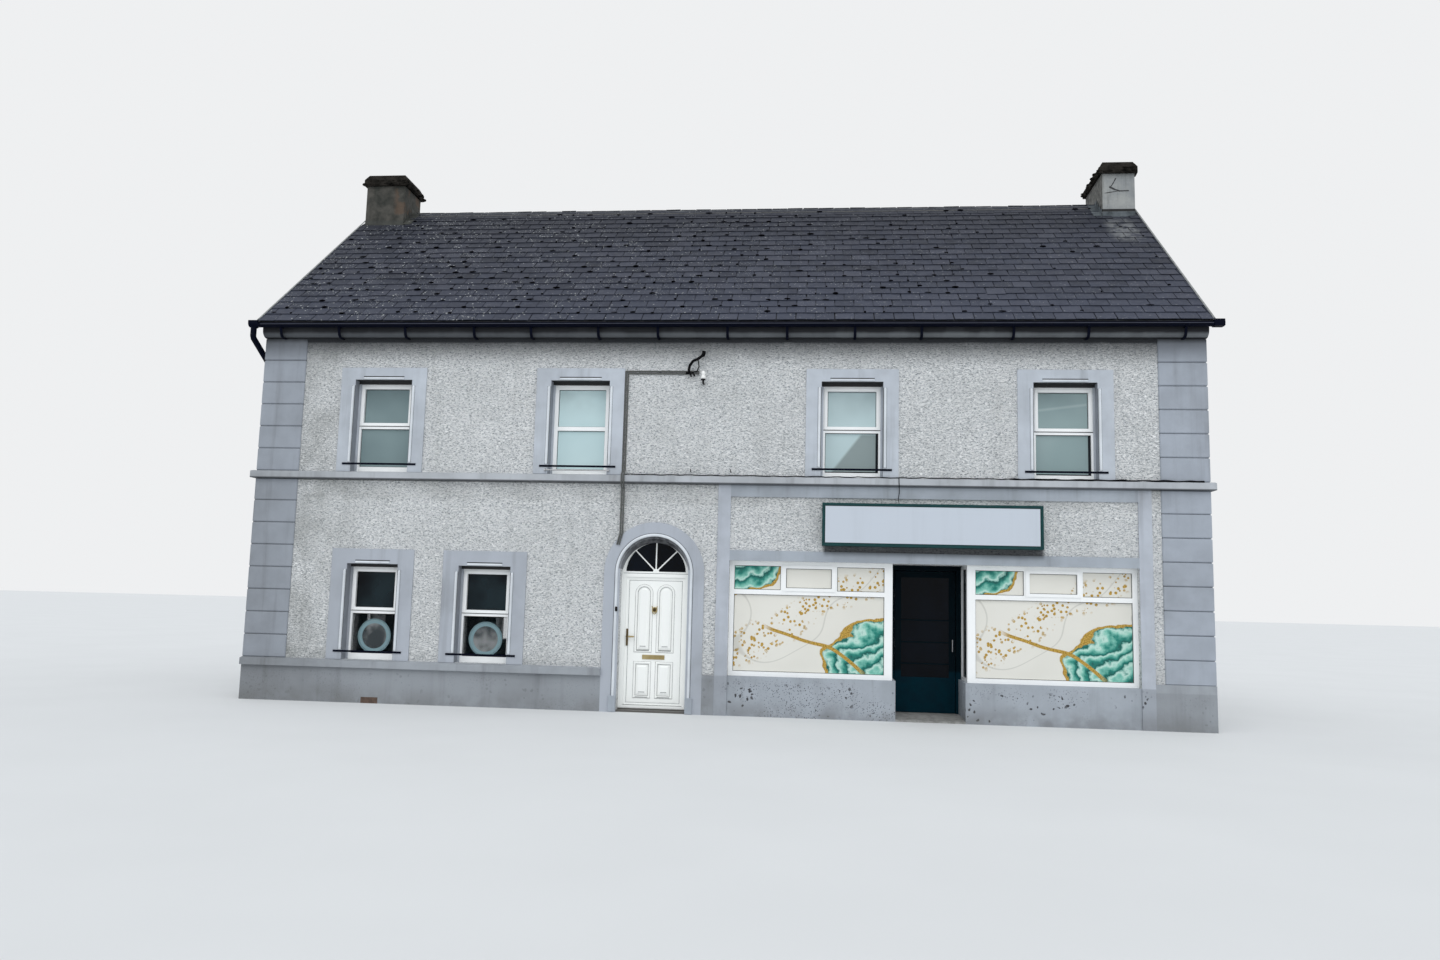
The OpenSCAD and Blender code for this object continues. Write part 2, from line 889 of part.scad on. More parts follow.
module window_frames() {
    color("white")
        at_windows() {
            casement(upper_window_w, upper_sill_z, upper_head_z, true);
            casement(ground_window_w, ground_sill_z, ground_head_z, true);
            casement(upper_window_w, upper_sill_z, upper_head_z, false);
        }
}

// The two sheets of glass of one window
module casement_glass(w, z0, z1, opening) {
    y0 = reveal_d + frame_d / 2 - glass_t / 2;
    mid_z = z0 + mid_rail_up * (z1 - z0) / upper_window_h;
    inset = light_inset(opening);
    foot = opening ? inset : 0;
    light_x = w / 2 - frame_w;
    low_x = light_x - (opening ? 0 : fixed_rim);
    block([-low_x, low_x], [y0, y0 + glass_t], [z0 + sill_rail_h, mid_z - mid_rail_w / 2]);
    block([-light_x + inset, light_x - inset], [y0, y0 + glass_t],
          [mid_z + mid_rail_w / 2 + foot, z1 - head_rail_h - inset]);
}

module window_glass() {
    color("#9fb0b5", 0.5)
        at_windows() {
            casement_glass(upper_window_w, upper_sill_z, upper_head_z, true);
            casement_glass(ground_window_w, ground_sill_z, ground_head_z, true);
            casement_glass(upper_window_w, upper_sill_z, upper_head_z, false);
        }
}

blind_t = 4;
blind_rail = 34;
// Clearances of a blind behind the frame, beside the wall and over the sill
blind_back = 20;
blind_side = 15;
cloth_side = 10;
blind_foot_up = 20;

// Roller blind hung from the head of an upper window
module window_blind() {
    y0 = reveal_d + frame_d + blind_back;
    x = upper_window_w / 2 - blind_side;
    z1 = upper_head_z;
    block([-x, x], [y0, y0 + blind_rail], [z1 - blind_rail, z1]);
    block([-x + cloth_side, x - cloth_side],
          [y0 + blind_rail / 2 - blind_t / 2, y0 + blind_rail / 2 + blind_t / 2],
          [upper_sill_z + blind_foot_up, z1 - blind_rail + 1]);
}

module window_blinds() {
    color("#b9c4bd")
        at_windows() {
            window_blind();
            union() {}
            window_blind();
        }
}

// Inner sill board of a ground floor window
module window_board() {
    block([-ground_window_w / 2, ground_window_w / 2], [reveal_d + frame_d, wall_t],
          [ground_sill_z, ground_sill_z + sill_rail_h]);
}

module window_boards() {
    color("white")
        at_windows() {
            union() {}
            window_board();
            union() {}
        }
}

mirror_t = 12;
mirror_off = -10;
mirror_back = 8;
mirror_rim_h = 4;

// Round mirrors with a frosted band, standing on the inner sills beside the glass
module window_mirrors() {
    color("#a9c7c4")
        for (x = ground_window_x)
            translate([fx(x) + mirror_off, front_y + reveal_d + frame_d + mirror_t + mirror_back,
                       ground_sill_z + sill_rail_h + ring_r])
                rotate([90, 0, 0])
                    difference() {
                        cylinder(r = ring_r, h = mirror_t, $fn = 96);
                        translate([0, 0, mirror_t - mirror_rim_h])
                            cylinder(r = ring_r - ring_band, h = mirror_t, $fn = 96);
                    }
}

bar_h = 30;
bar_t = 10;
bar_past = 130;
upper_bar_z = 3608;
ground_bar_z = 748;

// Flat iron bar across the foot of a window
module guard_bar(w, z) {
    block([-w / 2 - bar_past, w / 2 + bar_past], [-trim_out - bar_t, -trim_out], [z, z + bar_h]);
}

module window_guard_bars() {
    color("#1d1d20") {
        for (x = upper_window_x)
            translate([fx(x), front_y, 0])
                guard_bar(upper_window_w, upper_bar_z);
        for (x = ground_window_x)
            translate([fx(x), front_y, 0])
                guard_bar(ground_window_w, ground_bar_z);
    }
}

shop_frame_w = 68;
transom_z = shop_sill_z + shop_transom_up;
transom_w = 70;
// Lap of the shop's top light over its frame, at its sides and at its head and foot
vent_side_lap = 10;
vent_lap = 12;

// Frame of one shop window between two places along the front, its wide post at one end
module shop_window_frame(x0, x1, post_left, post_right) {
    y0 = shop_win_y;
    y1 = shop_win_y + frame_d;
    in_x0 = x0 + post_left;
    in_x1 = x1 - post_right;
    vent_x0 = in_x0 + (in_x1 - in_x0 - shop_vent_w) / 2;
    vent_x1 = vent_x0 + shop_vent_w;
    half_bar = shop_frame_w / 2;
    top_z = shop_head_z - shop_frame_w;
    light_z0 = transom_z + transom_w / 2;
    difference() {
        union() {
            block([x0, x1], [y0, y1], [shop_sill_z, shop_head_z]);
            block([vent_x0 - vent_side_lap, vent_x1 + vent_side_lap], [y0 - sash_out, y0 + cut],
                  [light_z0 - vent_lap, top_z + vent_lap]);
        }
        block([in_x0, in_x1], [y0 - cut, y1 + cut],
              [shop_sill_z + shop_frame_w, transom_z - transom_w / 2]);
        block([in_x0, vent_x0 - half_bar], [y0 - cut, y1 + cut], [light_z0, top_z]);
        block([vent_x1 + half_bar, in_x1], [y0 - cut, y1 + cut], [light_z0, top_z]);
        block([vent_x0 + sash_w, vent_x1 - sash_w], [y0 - sash_out - cut, y1 + cut],
              [light_z0 + sash_w - vent_lap, top_z - sash_w + vent_lap]);
    }
}

module shop_window_frames() {
    color("white") {
        shop_window_frame(shop_in_x0, shop_px0, shop_frame_w, shop_post_w);
        shop_window_frame(shop_px1, shop_in_x1, shop_post_w, shop_frame_w);
    }
}

// Glass of one shop window: the display pane and three top lights
module shop_window_panes(x0, x1, post_left, post_right) {
    y = [shop_win_y + frame_d / 2 - glass_t / 2, shop_win_y + frame_d / 2 + glass_t / 2];
    in_x0 = x0 + post_left;
    in_x1 = x1 - post_right;
    vent_x0 = in_x0 + (in_x1 - in_x0 - shop_vent_w) / 2;
    vent_x1 = vent_x0 + shop_vent_w;
    half_bar = shop_frame_w / 2;
    top_z = shop_head_z - shop_frame_w;
    light_z0 = transom_z + transom_w / 2;
    block([in_x0, in_x1], y, [shop_sill_z + shop_frame_w, transom_z - transom_w / 2]);
    block([in_x0, vent_x0 - half_bar], y, [light_z0, top_z]);
    block([vent_x1 + half_bar, in_x1], y, [light_z0, top_z]);
    block([vent_x0 + sash_w, vent_x1 - sash_w], y,
          [light_z0 + sash_w - vent_lap, top_z - sash_w + vent_lap]);
}

module shop_window_glass() {
    color("#e8e6df") {
        shop_window_panes(shop_in_x0, shop_px0, shop_frame_w, shop_post_w);
        shop_window_panes(shop_px1, shop_in_x1, shop_post_w, shop_frame_w);
    }
}

cheek_t = 45;
cheek_rail_w = 50;
soffit_t = 30;

// Glazed side panel of the recess, between the shop window's post and the door frame
module cheek_frame(x) {
    y0 = shop_win_y + frame_d;
    difference() {
        block([x, x + cheek_t], [y0, shop_frame_y], [riser_h, shop_head_z]);
        block([x - cut, x + cheek_t + cut], [y0 + cheek_rail_w, shop_frame_y - cheek_rail_w],
              [riser_h + cheek_rail_w, shop_head_z - cheek_rail_w]);
    }
}

module shop_doorway_cheeks() {
    color("white") {
        cheek_frame(shop_px0 - cheek_t);
        cheek_frame(shop_px1);
    }
}

// Board that closes the recess above, behind the wall
module recess_soffit() {
    color("dimgray")
        block([shop_px0 - cheek_t, shop_px1 + cheek_t], [inner_y, shop_back_y],
              [shop_head_z, shop_head_z + soffit_t]);
}

// Pane of a side panel
module cheek_pane(x) {
    block([x + cheek_t / 2 - glass_t / 2, x + cheek_t / 2 + glass_t / 2],
          [shop_win_y + frame_d + cheek_rail_w, shop_frame_y - cheek_rail_w],
          [riser_h + cheek_rail_w, shop_head_z - cheek_rail_w]);
}

module doorway_side_glass() {
    color("#20262a") {
        cheek_pane(shop_px0 - cheek_t);
        cheek_pane(shop_px1);
    }
}

sign_sink = 12;

// Sign box with a raised frame round its plain panel
module sign_box() {
    x0 = shop_mid - sign_w / 2;
    y0 = front_y - sign_out;
    color("#1e4a3c")
        difference() {
            block([x0, x0 + sign_w], [y0, front_y], [sign_z, sign_z + sign_h]);
            block([x0 + sign_frame_w, x0 + sign_w - sign_frame_w], [y0 - cut, y0 + sign_sink],
                  [sign_z + sign_frame_w, sign_z + sign_h - sign_frame_w]);
        }
}

fan_r = door_r - door_frame_w;
spoke_w = 17;
spoke_in = 20;
spoke_d = 30;
spoke_seat = 5;
hub_r = 45;

// White door frame with transom, arched head and the fanlight's spokes
module house_door_frame() {
    foot_z = floor_z + foot_bar_h;
    head_z = springing_z - transom_h + transom_over;
    color("white") {
        run_y(door_y, door_y + door_frame_d)
            difference() {
                arch_outline(door_r, floor_z);
                translate([door_x0 + door_frame_w, foot_z])
                    square([door_w - 2 * door_frame_w, head_z - foot_z]);
                fanlight_outline();
            }
        run_y(door_y, door_y + lip_t)
            difference() {
                translate([door_x0 + door_frame_w - 1, foot_z])
                    square([door_w - 2 * door_frame_w + 2, head_z + 1 - foot_z]);
                translate([door_x0 + door_frame_w + lip_w, foot_z - cut])
                    square([door_w - 2 * door_frame_w - 2 * lip_w, head_z - lip_w - foot_z + cut]);
            }
        run_y(door_y + spoke_in, door_y + spoke_in + spoke_d)
            intersection() {
                translate([0, springing_z + transom_over])
                    fanlight_spokes();
                translate([fx(door_x), springing_z])
                    circle(fan_r + spoke_seat, $fn = 96);
            }
    }
}

module fanlight_outline() {
    intersection() {
        translate([fx(door_x), springing_z])
            circle(fan_r, $fn = 96);
        translate([fx(door_x) - fan_r, springing_z + transom_over])
            square([2 * fan_r, fan_r]);
    }
}

module fanlight_spokes() {
    translate([fx(door_x), 0]) {
        for (a = [-45, 0, 45])
            rotate(a)
                translate([-spoke_w / 2, 0])
                    square([spoke_w, fan_r + spoke_in]);
        intersection() {
            circle(hub_r);
            translate([-hub_r, 0])
                square([2 * hub_r, hub_r]);
        }
    }
}

module fanlight_glass() {
    color("#20262a")
        run_y(door_y + spoke_in + spoke_d, door_y + spoke_in + spoke_d + glass_t)
            fanlight_outline();
}

// Concrete step and floor strip in the house doorway, and the floor of the shop doorway
module door_thresholds() {
    color("darkgray") {
        run_x(door_x0, door_x1, [
            [front_y, 0],
            [inner_y, 0],
            [inner_y, floor_z],
            [door_y, floor_z],
            [door_y, step_z],
            [front_y, step_z]
        ]);
        run_x(shop_dx0, shop_dx1, [
            [front_y, 0],
            [inner_y, 0],
            [inner_y, floor_z],
            [front_y, step_z]
        ]);
    }
}

module shop_door_frame() {
    color("#12332c")
        difference() {
            block([shop_px0, shop_px1], [shop_frame_y, shop_back_y], [floor_z, shop_head_z]);
            block([shop_px0 + shop_jamb_w, shop_px1 - shop_jamb_w],
                  [shop_frame_y - cut, shop_back_y + cut], [floor_z - cut, shop_head_z - shop_head_h]);
        }
}

knuckle_r = 9;
knuckle_gap = 0.3;
pin_r = 4;
hinge_h = 96;
hinge_off = knuckle_r + 1;
flap_w = 34;
flap_t = 3;
house_pivot = [leaf_x1 + door_gap / 2, leaf_y1 + hinge_off];
shop_pivot = [shop_leaf_x0 - door_gap / 2, shop_leaf_y1 + hinge_off];
hinge_zs = [250, 1000, 1750];

// Plate of a hinge flap beside its pin, on the face that the pin stands off from
module flap_plate() {
    block([knuckle_r + 1, flap_w], [-hinge_off, flap_t - hinge_off], [0, hinge_h]);
}

// One knuckle of a hinge with the tab that joins it to its plate
module knuckle(z0, z1) {
    translate([0, 0, z0])
        cylinder(r = knuckle_r, h = z1 - z0);
    block([0, knuckle_r + 2], [-hinge_off, flap_t - hinge_off], [z0, z1]);
}

// Fixed half of a hinge: its flap, the two outer knuckles and the pin
module fixed_flap() {
    flap_plate();
    knuckle(0, hinge_h / 3);
    knuckle(hinge_h * 2 / 3, hinge_h);
    cylinder(r = pin_r, h = hinge_h);
}

// Moving half of a hinge: its flap and the middle knuckle, bored for the pin
module moving_flap() {
    mirror([1, 0, 0])
        difference() {
            union() {
                flap_plate();
                knuckle(hinge_h / 3 + knuckle_gap, hinge_h * 2 / 3 - knuckle_gap);
            }
            translate([0, 0, -cut])
                cylinder(r = pin_r + knuckle_gap, h = hinge_h + 2 * cut);
        }
}

module at_hinges(pivot) {
    for (z = hinge_zs)
        translate([pivot[0], pivot[1], z])
            children();
}

module door_hinges() {
    color("silver") {
        at_hinges(house_pivot)
            fixed_flap();
        at_hinges(shop_pivot)
            mirror([1, 0, 0])
                fixed_flap();
    }
}

module house_door_flaps() {
    color("silver")
        at_hinges(house_pivot)
            moving_flap();
}

module shop_door_flaps() {
    color("silver")
        at_hinges(shop_pivot)
            mirror([1, 0, 0])
                moving_flap();
}

conduit_r = 12;
elbow_r = conduit_r + 1;
conduit_gap = 34;
conduit_off = 4;
conduit_run = 1120;
conduit_top_z = 5090;
conduit_foot_z = 2450;
conduit_lean = 45;
// Heights of the bends over and under the string course, and of the lean at the foot
conduit_over = 60;
conduit_under = 20;
conduit_in = 70;
conduit_lean_h = 180;

// One cable pipe from the service bracket, down over the string course to the arch
module cable_run(off) {
    wall = front_y - elbow_r;
    front = front_y - string_out - elbow_r;
    low = front_y - trim_out - elbow_r;
    x = fx(upper_window_x[1]) + upper_window_w / 2 + surround_w + elbow_r + conduit_off + off;
    points = [
        [x + conduit_run - off, wall, conduit_top_z - off],
        [x, wall, conduit_top_z - off],
        [x, wall, string_top + conduit_over],
        [x, front, string_top],
        [x, front, string_z - conduit_under],
        [x, low, string_z - conduit_under - conduit_in],
        [x, low, conduit_foot_z + conduit_lean_h],
        [x - conduit_lean, low, conduit_foot_z]
    ];
    for (i = [0 : len(points) - 2])
        pipe(points[i], points[i + 1], conduit_r);
    for (i = [1 : len(points) - 2])
        translate(points[i])
            sphere(elbow_r, $fn = 12);
}

module wall_conduit() {
    color("gray") {
        cable_run(0);
        cable_run(conduit_gap);
    }
}

vent_off = 80;
vent_w = 260;
vent_h = 90;
vent_t = 6;

// Clay air vent at the foot of the plinth under the first ground floor window
module air_vent() {
    x = fx(ground_window_x[0]) + vent_off;
    color("#b0654a")
        block([x - vent_w / 2, x + vent_w / 2],
              [front_y - trim_out - vent_t, front_y - trim_out], [0, vent_h]);
}

// House door leaf with two tall arched panels over two square ones
module house_door() {
    w = leaf_x1 - leaf_x0;
    color("white")
        difference() {
            block([leaf_x0, leaf_x1], [leaf_y0, leaf_y1], [leaf_z0, leaf_z1]);
            rim_groove();
            for (side = [-1, 1]) {
                panel_groove(side, panel_mid_z + panel_apart / 2, leaf_z1 - panel_top_down, true);
                panel_groove(side, leaf_z0 + panel_foot_up, panel_mid_z - panel_apart / 2, false);
            }
        }
}

// Places of the panels, measured from the leaf's own edges
panel_w = 220;
panel_side = 165;
panel_edge = 25;
panel_mid_up = 700;
panel_mid_z = leaf_z0 + panel_mid_up;
panel_apart = 180;
panel_foot_up = 120;
panel_top_down = 245;
rim_side = 66;
rim_foot = 36;
rim_groove_w = 10;
groove_d = 8;

// Fine sunk line that parts the leaf's rim from its panel
module rim_groove() {
    x = [leaf_x0 + rim_side, leaf_x1 - rim_side];
    z = [leaf_z0 + rim_foot, leaf_z1 - rim_foot];
    difference() {
        block(x, [leaf_y0 - cut, leaf_y0 + groove_d / 2], z);
        block([x[0] + rim_groove_w, x[1] - rim_groove_w], [leaf_y0 - 2 * cut, leaf_y0 + cut],
              [z[0] + rim_groove_w, z[1] - rim_groove_w]);
    }
}

// Sunk margin round one raised door panel
module panel_groove(side, z0, z1, arched) {
    x = (leaf_x0 + leaf_x1) / 2 + side * panel_side;
    run_y(leaf_y0 - cut, leaf_y0 + groove_d)
        difference() {
            panel_outline(x, z0, z1, panel_w / 2, arched);
            panel_outline(x, z0 + panel_edge, z1 - (arched ? 0 : panel_edge),
                          panel_w / 2 - panel_edge, arched);
        }
}

module panel_outline(x, z0, z1, r, arched) {
    translate([x - r, z0])
        square([2 * r, z1 - z0]);
    if (arched)
        translate([x, z1])
            circle(r);
}

plate_t = 10;
letter_plate_w = 334;
letter_plate_h = 64;
knocker_up = 1400;
handle_up = 985;
handle_in = 42;
handle_plate_w = 32;
handle_plate_h = 250;
knocker_r = 40;
knocker_t = 20;
lever_l = 120;
lever_h = 22;
lever_out = 40;
lever_t = 15;

// Letter plate, knocker and lever handle of the house door
module house_door_furniture() {
    mid_x = (leaf_x0 + leaf_x1) / 2;
    handle_x = leaf_x0 + handle_in;
    handle_z = leaf_z0 + handle_up;
    face = leaf_y0;
    color("darkgoldenrod") {
        block([mid_x - letter_plate_w / 2, mid_x + letter_plate_w / 2], [face - plate_t, face],
              [panel_mid_z - letter_plate_h / 2, panel_mid_z + letter_plate_h / 2]);
        translate([mid_x, face, leaf_z0 + knocker_up])
            rotate([90, 0, 0])
                cylinder(r = knocker_r, h = knocker_t);
        block([handle_x - handle_plate_w / 2, handle_x + handle_plate_w / 2], [face - plate_t, face],
              [handle_z - handle_plate_h / 2, handle_z + handle_plate_h / 2]);
        block([handle_x - lever_h / 2, handle_x + lever_l - lever_h / 2],
              [face - lever_out - lever_t, face - lever_out], [handle_z, handle_z + lever_h]);
        block([handle_x - lever_h / 2, handle_x + lever_h / 2], [face - lever_out, face - plate_t],
              [handle_z, handle_z + lever_h]);
    }
}

// Centre lines of the shop door's glazing bars above the leaf's foot
shop_bars_up = [721, 1042, 1372];
shop_bar_h = 20;
shop_bar_d = 16;

// Dark green shop door: stiles, rails, glazing bars and a solid bottom panel
module shop_door() {
    x = [shop_leaf_x0 + shop_stile_w, shop_leaf_x1 - shop_stile_w];
    z = [shop_leaf_z0 + shop_kick_h, shop_leaf_z1 - shop_stile_w];
    color("#12332c")
        difference() {
            block([shop_leaf_x0, shop_leaf_x1], [shop_leaf_y0, shop_leaf_y1], [shop_leaf_z0, shop_leaf_z1]);
            difference() {
                block(x, [shop_leaf_y0 - cut, shop_leaf_y1 + cut], z);
                for (up = shop_bars_up)
                    block([shop_leaf_x0, shop_leaf_x1], [shop_leaf_y0, shop_leaf_y0 + shop_bar_d],
                          [shop_leaf_z0 + up - shop_bar_h / 2, shop_leaf_z0 + up + shop_bar_h / 2]);
            }
        }
}

module shop_door_glass() {
    y0 = shop_leaf_y0 + shop_bar_d;
    color("#1a1f24")
        block([shop_leaf_x0 + shop_stile_w, shop_leaf_x1 - shop_stile_w], [y0, y0 + glass_t],
              [shop_leaf_z0 + shop_kick_h, shop_leaf_z1 - shop_stile_w]);
}

pull_r = 10;
pull_l = 180;
pull_out = 50;
pull_foot_r = 8;
pull_up = 1000;
pull_foot_in = 25;

// Upright pull handle on two round feet
module shop_door_handle() {
    x = shop_leaf_x1 - shop_stile_w / 2;
    z0 = shop_leaf_z0 + pull_up - pull_l / 2;
    color("silver") {
        translate([x, shop_leaf_y0 - pull_out, z0])
            cylinder(r = pull_r, h = pull_l);
        for (z = [z0 + pull_foot_in, z0 + pull_l - pull_foot_in])
            translate([x, shop_leaf_y0, z])
                rotate([90, 0, 0])
                    cylinder(r = pull_foot_r, h = pull_out);
    }
}

ground_floor();
first_floor();
front_wall_left();
door_arch_wall();
front_wall_pier();
shop_lintel_wall();
stall_risers();
front_wall_right();
front_wall_upper();
back_wall();
left_gable_wall();
right_gable_wall();
front_plinth();
side_plinths();
back_plinth();
string_course_front();
string_course_sides();
string_course_back();
corner_quoins();
window_surrounds();
door_surround();
shop_pilasters();
shop_fascia_bands();
eaves_courses();
gutters();
gutter_brackets();
downpipes();
roof_slope_front();
roof_slope_back();
ridge_tiles();
chimney_stacks();
chimney_caps();
chimney_flashings();
window_frames();
window_glass();
window_blinds();
window_boards();
window_mirrors();
window_guard_bars();
shop_window_frames();
shop_window_glass();
shop_doorway_cheeks();
doorway_side_glass();
recess_soffit();
sign_box();
house_door_frame();
fanlight_glass();
door_thresholds();
shop_door_frame();
door_hinges();
wall_conduit();
air_vent();
house_door();
house_door_furniture();
house_door_flaps();
shop_door();
shop_door_glass();
shop_door_handle();
shop_door_flaps();
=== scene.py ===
"""Corner shop with a house door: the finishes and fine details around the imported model."""
import itertools
import math
import random

import bmesh
import bpy
from mathutils import Matrix, Vector


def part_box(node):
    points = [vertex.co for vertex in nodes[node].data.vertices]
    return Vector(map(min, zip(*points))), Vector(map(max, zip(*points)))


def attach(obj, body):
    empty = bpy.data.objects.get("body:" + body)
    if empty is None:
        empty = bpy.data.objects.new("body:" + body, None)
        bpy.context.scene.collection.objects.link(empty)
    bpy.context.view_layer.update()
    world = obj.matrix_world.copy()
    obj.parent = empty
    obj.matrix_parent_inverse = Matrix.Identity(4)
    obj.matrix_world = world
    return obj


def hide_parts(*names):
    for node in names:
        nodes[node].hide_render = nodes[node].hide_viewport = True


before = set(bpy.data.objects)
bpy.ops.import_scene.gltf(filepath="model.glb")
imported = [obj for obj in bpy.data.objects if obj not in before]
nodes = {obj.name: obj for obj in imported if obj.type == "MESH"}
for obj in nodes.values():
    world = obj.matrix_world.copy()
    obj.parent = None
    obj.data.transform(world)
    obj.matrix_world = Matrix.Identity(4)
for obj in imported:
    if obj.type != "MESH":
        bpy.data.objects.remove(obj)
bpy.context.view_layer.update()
scene = bpy.context.scene

# Places on the house, in metres. X runs right from the left corner, Y into the house, Z up.
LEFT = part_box("front_plinth")[0].x
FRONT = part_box("front_wall_left")[0].y
BACK = -FRONT
TRIM = 0.02
GROUND_MID_Z = 1.36
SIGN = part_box("sign_box")
STRING_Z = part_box("string_course_front")[0].z
EAVES_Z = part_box("eaves_courses")[0].z
RIDGE_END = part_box("ridge_tiles")[1].x
# Pieces further out than this from the middle are on the front or the back face
FACE_Y = 3.0
# Colour of the painted shade, with some soot, under ledges and the sign box
SHADE_AND_SOOT = (0.03, 0.034, 0.04)


def along(x):
    """X of a place measured from the left corner."""
    return LEFT + x


# Shader maths


def maths(operation):
    """Method of Value that adds one Math node."""
    return lambda self, other=0.0: self.math(operation, self, other)


class Value:
    """A shader socket; an expression on it adds the Math nodes it needs."""

    def __init__(self, finish, socket):
        self.finish, self.socket = finish, socket

    def math(self, operation, a, b=0.0, clamp=False):
        return self.finish.node("ShaderNodeMath", {"operation": operation, "use_clamp": clamp}, {0: a, 1: b})

    __add__ = __radd__ = maths("ADD")
    __mul__ = __rmul__ = maths("MULTIPLY")
    __sub__ = maths("SUBTRACT")
    power, least, most = maths("POWER"), maths("MINIMUM"), maths("MAXIMUM")
    abs, wrap = maths("ABSOLUTE"), maths("FLOORED_MODULO")

    def __rsub__(self, other):
        return self.math("SUBTRACT", other, self)

    def clip(self):
        return self.math("ADD", self, clamp=True)

    def rise(self, low, high):
        """0 below low, 1 above high, smooth between; falls where high is under low."""
        ends = {"Value": self, "From Min": low, "From Max": high}
        return self.finish.node("ShaderNodeMapRange", {"interpolation_type": "SMOOTHSTEP"}, ends)

    def span(self, other):
        """Length of a step of self one way and of other square to it."""
        return (self * self + other * other).power(0.5)

    def band(self, low, high, soft):
        """1 between low and high, with soft edges."""
        return self.rise(low - soft, low + soft) * self.rise(high + soft, high - soft)


class Finish:
    """A node material with one Principled shader."""

    def __init__(self, name, **sockets):
        self.material = bpy.data.materials.new(name)
        self.material.use_nodes = True
        self.tree = self.material.node_tree
        self.tree.nodes.clear()
        out = self.tree.nodes.new("ShaderNodeOutputMaterial")
        self.shader = self.tree.nodes.new("ShaderNodeBsdfPrincipled")
        self.tree.links.new(self.shader.outputs[0], out.inputs["Surface"])
        self.place = self.node("ShaderNodeTexCoord", output="Object")
        self.x, self.y, self.z = self.node("ShaderNodeSeparateXYZ", {}, {0: self.place}, output=None)
        self.set(**sockets)

    def set(self, **sockets):
        for name, value in sockets.items():
            self.fill(self.shader.inputs[name.replace("_", " ")], value)

    def fill(self, socket, value):
        if isinstance(value, Value):
            self.tree.links.new(value.socket, socket)
        elif isinstance(value, tuple) and len(value) == 3 and socket.type == "RGBA":
            socket.default_value = (*value, 1.0)
        else:
            socket.default_value = value

    def node(self, kind, settings=None, sockets=None, output=0):
        """Any node, its settings and sockets filled in; gives one of its outputs, or all for None."""
        made = self.tree.nodes.new(kind)
        for name, value in (settings or {}).items():
            if name == "stops":
                ends = made.color_ramp.elements
                while len(ends) < len(value):
                    ends.new(1.0)
                for end, (position, colour) in zip(ends, value):
                    end.position, end.color = position, (*colour, 1.0)
            else:
                setattr(made, name, value)
        for name, value in (sockets or {}).items():
            self.fill(made.inputs[name], value)
        if output is None:
            return [Value(self, socket) for socket in made.outputs]
        return Value(self, made.outputs[output])

    def mix(self, factor, a, b):
        return self.node("ShaderNodeMix", {"data_type": "RGBA"}, {"Factor": factor, 6: a, 7: b}, output=2)

    def ramp(self, factor, *stops):
        return self.node("ShaderNodeValToRGB", {"stops": stops}, {"Fac": factor})

    def noise(self, scale, detail=3.0, roughness=0.55, stretch=None, distortion=0.0, output=0):
        place = self.place
        if stretch:
            place = self.node("ShaderNodeMapping", {}, {"Vector": place, "Scale": stretch})
        sockets = {"Vector": place, "Scale": scale, "Detail": detail, "Roughness": roughness, "Distortion": distortion}
        return self.node("ShaderNodeTexNoise", {}, sockets, output)

    def cells(self, scale, place=None):
        return self.node("ShaderNodeTexVoronoi", {}, {"Vector": place or self.place, "Scale": scale})

    def shifted(self, amount, scale):
        """Object coordinates pushed about by a noise, for ragged edges."""
        push = self.noise(scale, 2.0, output=1)
        centred = self.node("ShaderNodeVectorMath", {"operation": "SUBTRACT"}, {0: push, 1: (0.5, 0.5, 0.5)})
        scaled = self.node("ShaderNodeVectorMath", {"operation": "SCALE"}, {0: centred, "Scale": amount})
        return self.node("ShaderNodeVectorMath", {"operation": "ADD"}, {0: self.place, 1: scaled})

    def away(self, x, z):
        """Distance from a point in the plane of the front."""
        return (self.x - x).span(self.z - z)

    def coat(self, colour, roughness, height=None, distance=0.0, strength=0.0):
        """Fill the shader's main sockets, with a bump where there is a height; gives the material."""
        self.set(Base_Color=colour, Roughness=roughness)
        if height is not None:
            bump = {"Height": height, "Distance": distance, "Strength": strength}
            self.set(Normal=self.node("ShaderNodeBump", {}, bump))
        return self.material


def tint(colour, k):
    return tuple(c * k for c in colour)


def long_walls(f):
    """1 on the front and back walls, 0 on the gables."""
    return f.y.abs().rise(3.52, 3.58)


def shaded(f, colour, k=1.0):
    """Colour with painted shade, and some soot, under the sign box, the string course and the eaves."""
    under_sign = f.x.band(SIGN[0].x + 0.03, SIGN[1].x + 0.03, 0.03) * f.z.rise(SIGN[0].z - 0.17, SIGN[0].z - 0.07)
    under_sign = under_sign * f.z.rise(SIGN[1].z, SIGN[0].z + 0.1) * f.y.rise(0.1, -0.1)
    under_string = f.z.rise(STRING_Z - 0.028, STRING_Z - 0.012) * f.z.rise(STRING_Z + 0.06, STRING_Z + 0.02)
    under_eaves = f.z.rise(EAVES_Z - 0.48, EAVES_Z + 0.02) * 0.9 + f.z.rise(EAVES_Z - 0.085, EAVES_Z - 0.02) * 0.3
    under_eaves = under_eaves * f.noise(2.6, 3.0).rise(-0.6, 0.5) * long_walls(f)
    # Painted shade, with some soot
    shade_and_soot = under_sign * 0.85 + under_string * 0.75 + under_eaves
    return f.mix((shade_and_soot * k).clip(), colour, SHADE_AND_SOOT)


def worn_corner(f):
    """Dirt that grows towards the left corner, which takes the most weather."""
    return f.x.rise(along(2.4), along(0.1)) * (f.y.rise(-2.2, -3.5) * 0.4 + 0.1)


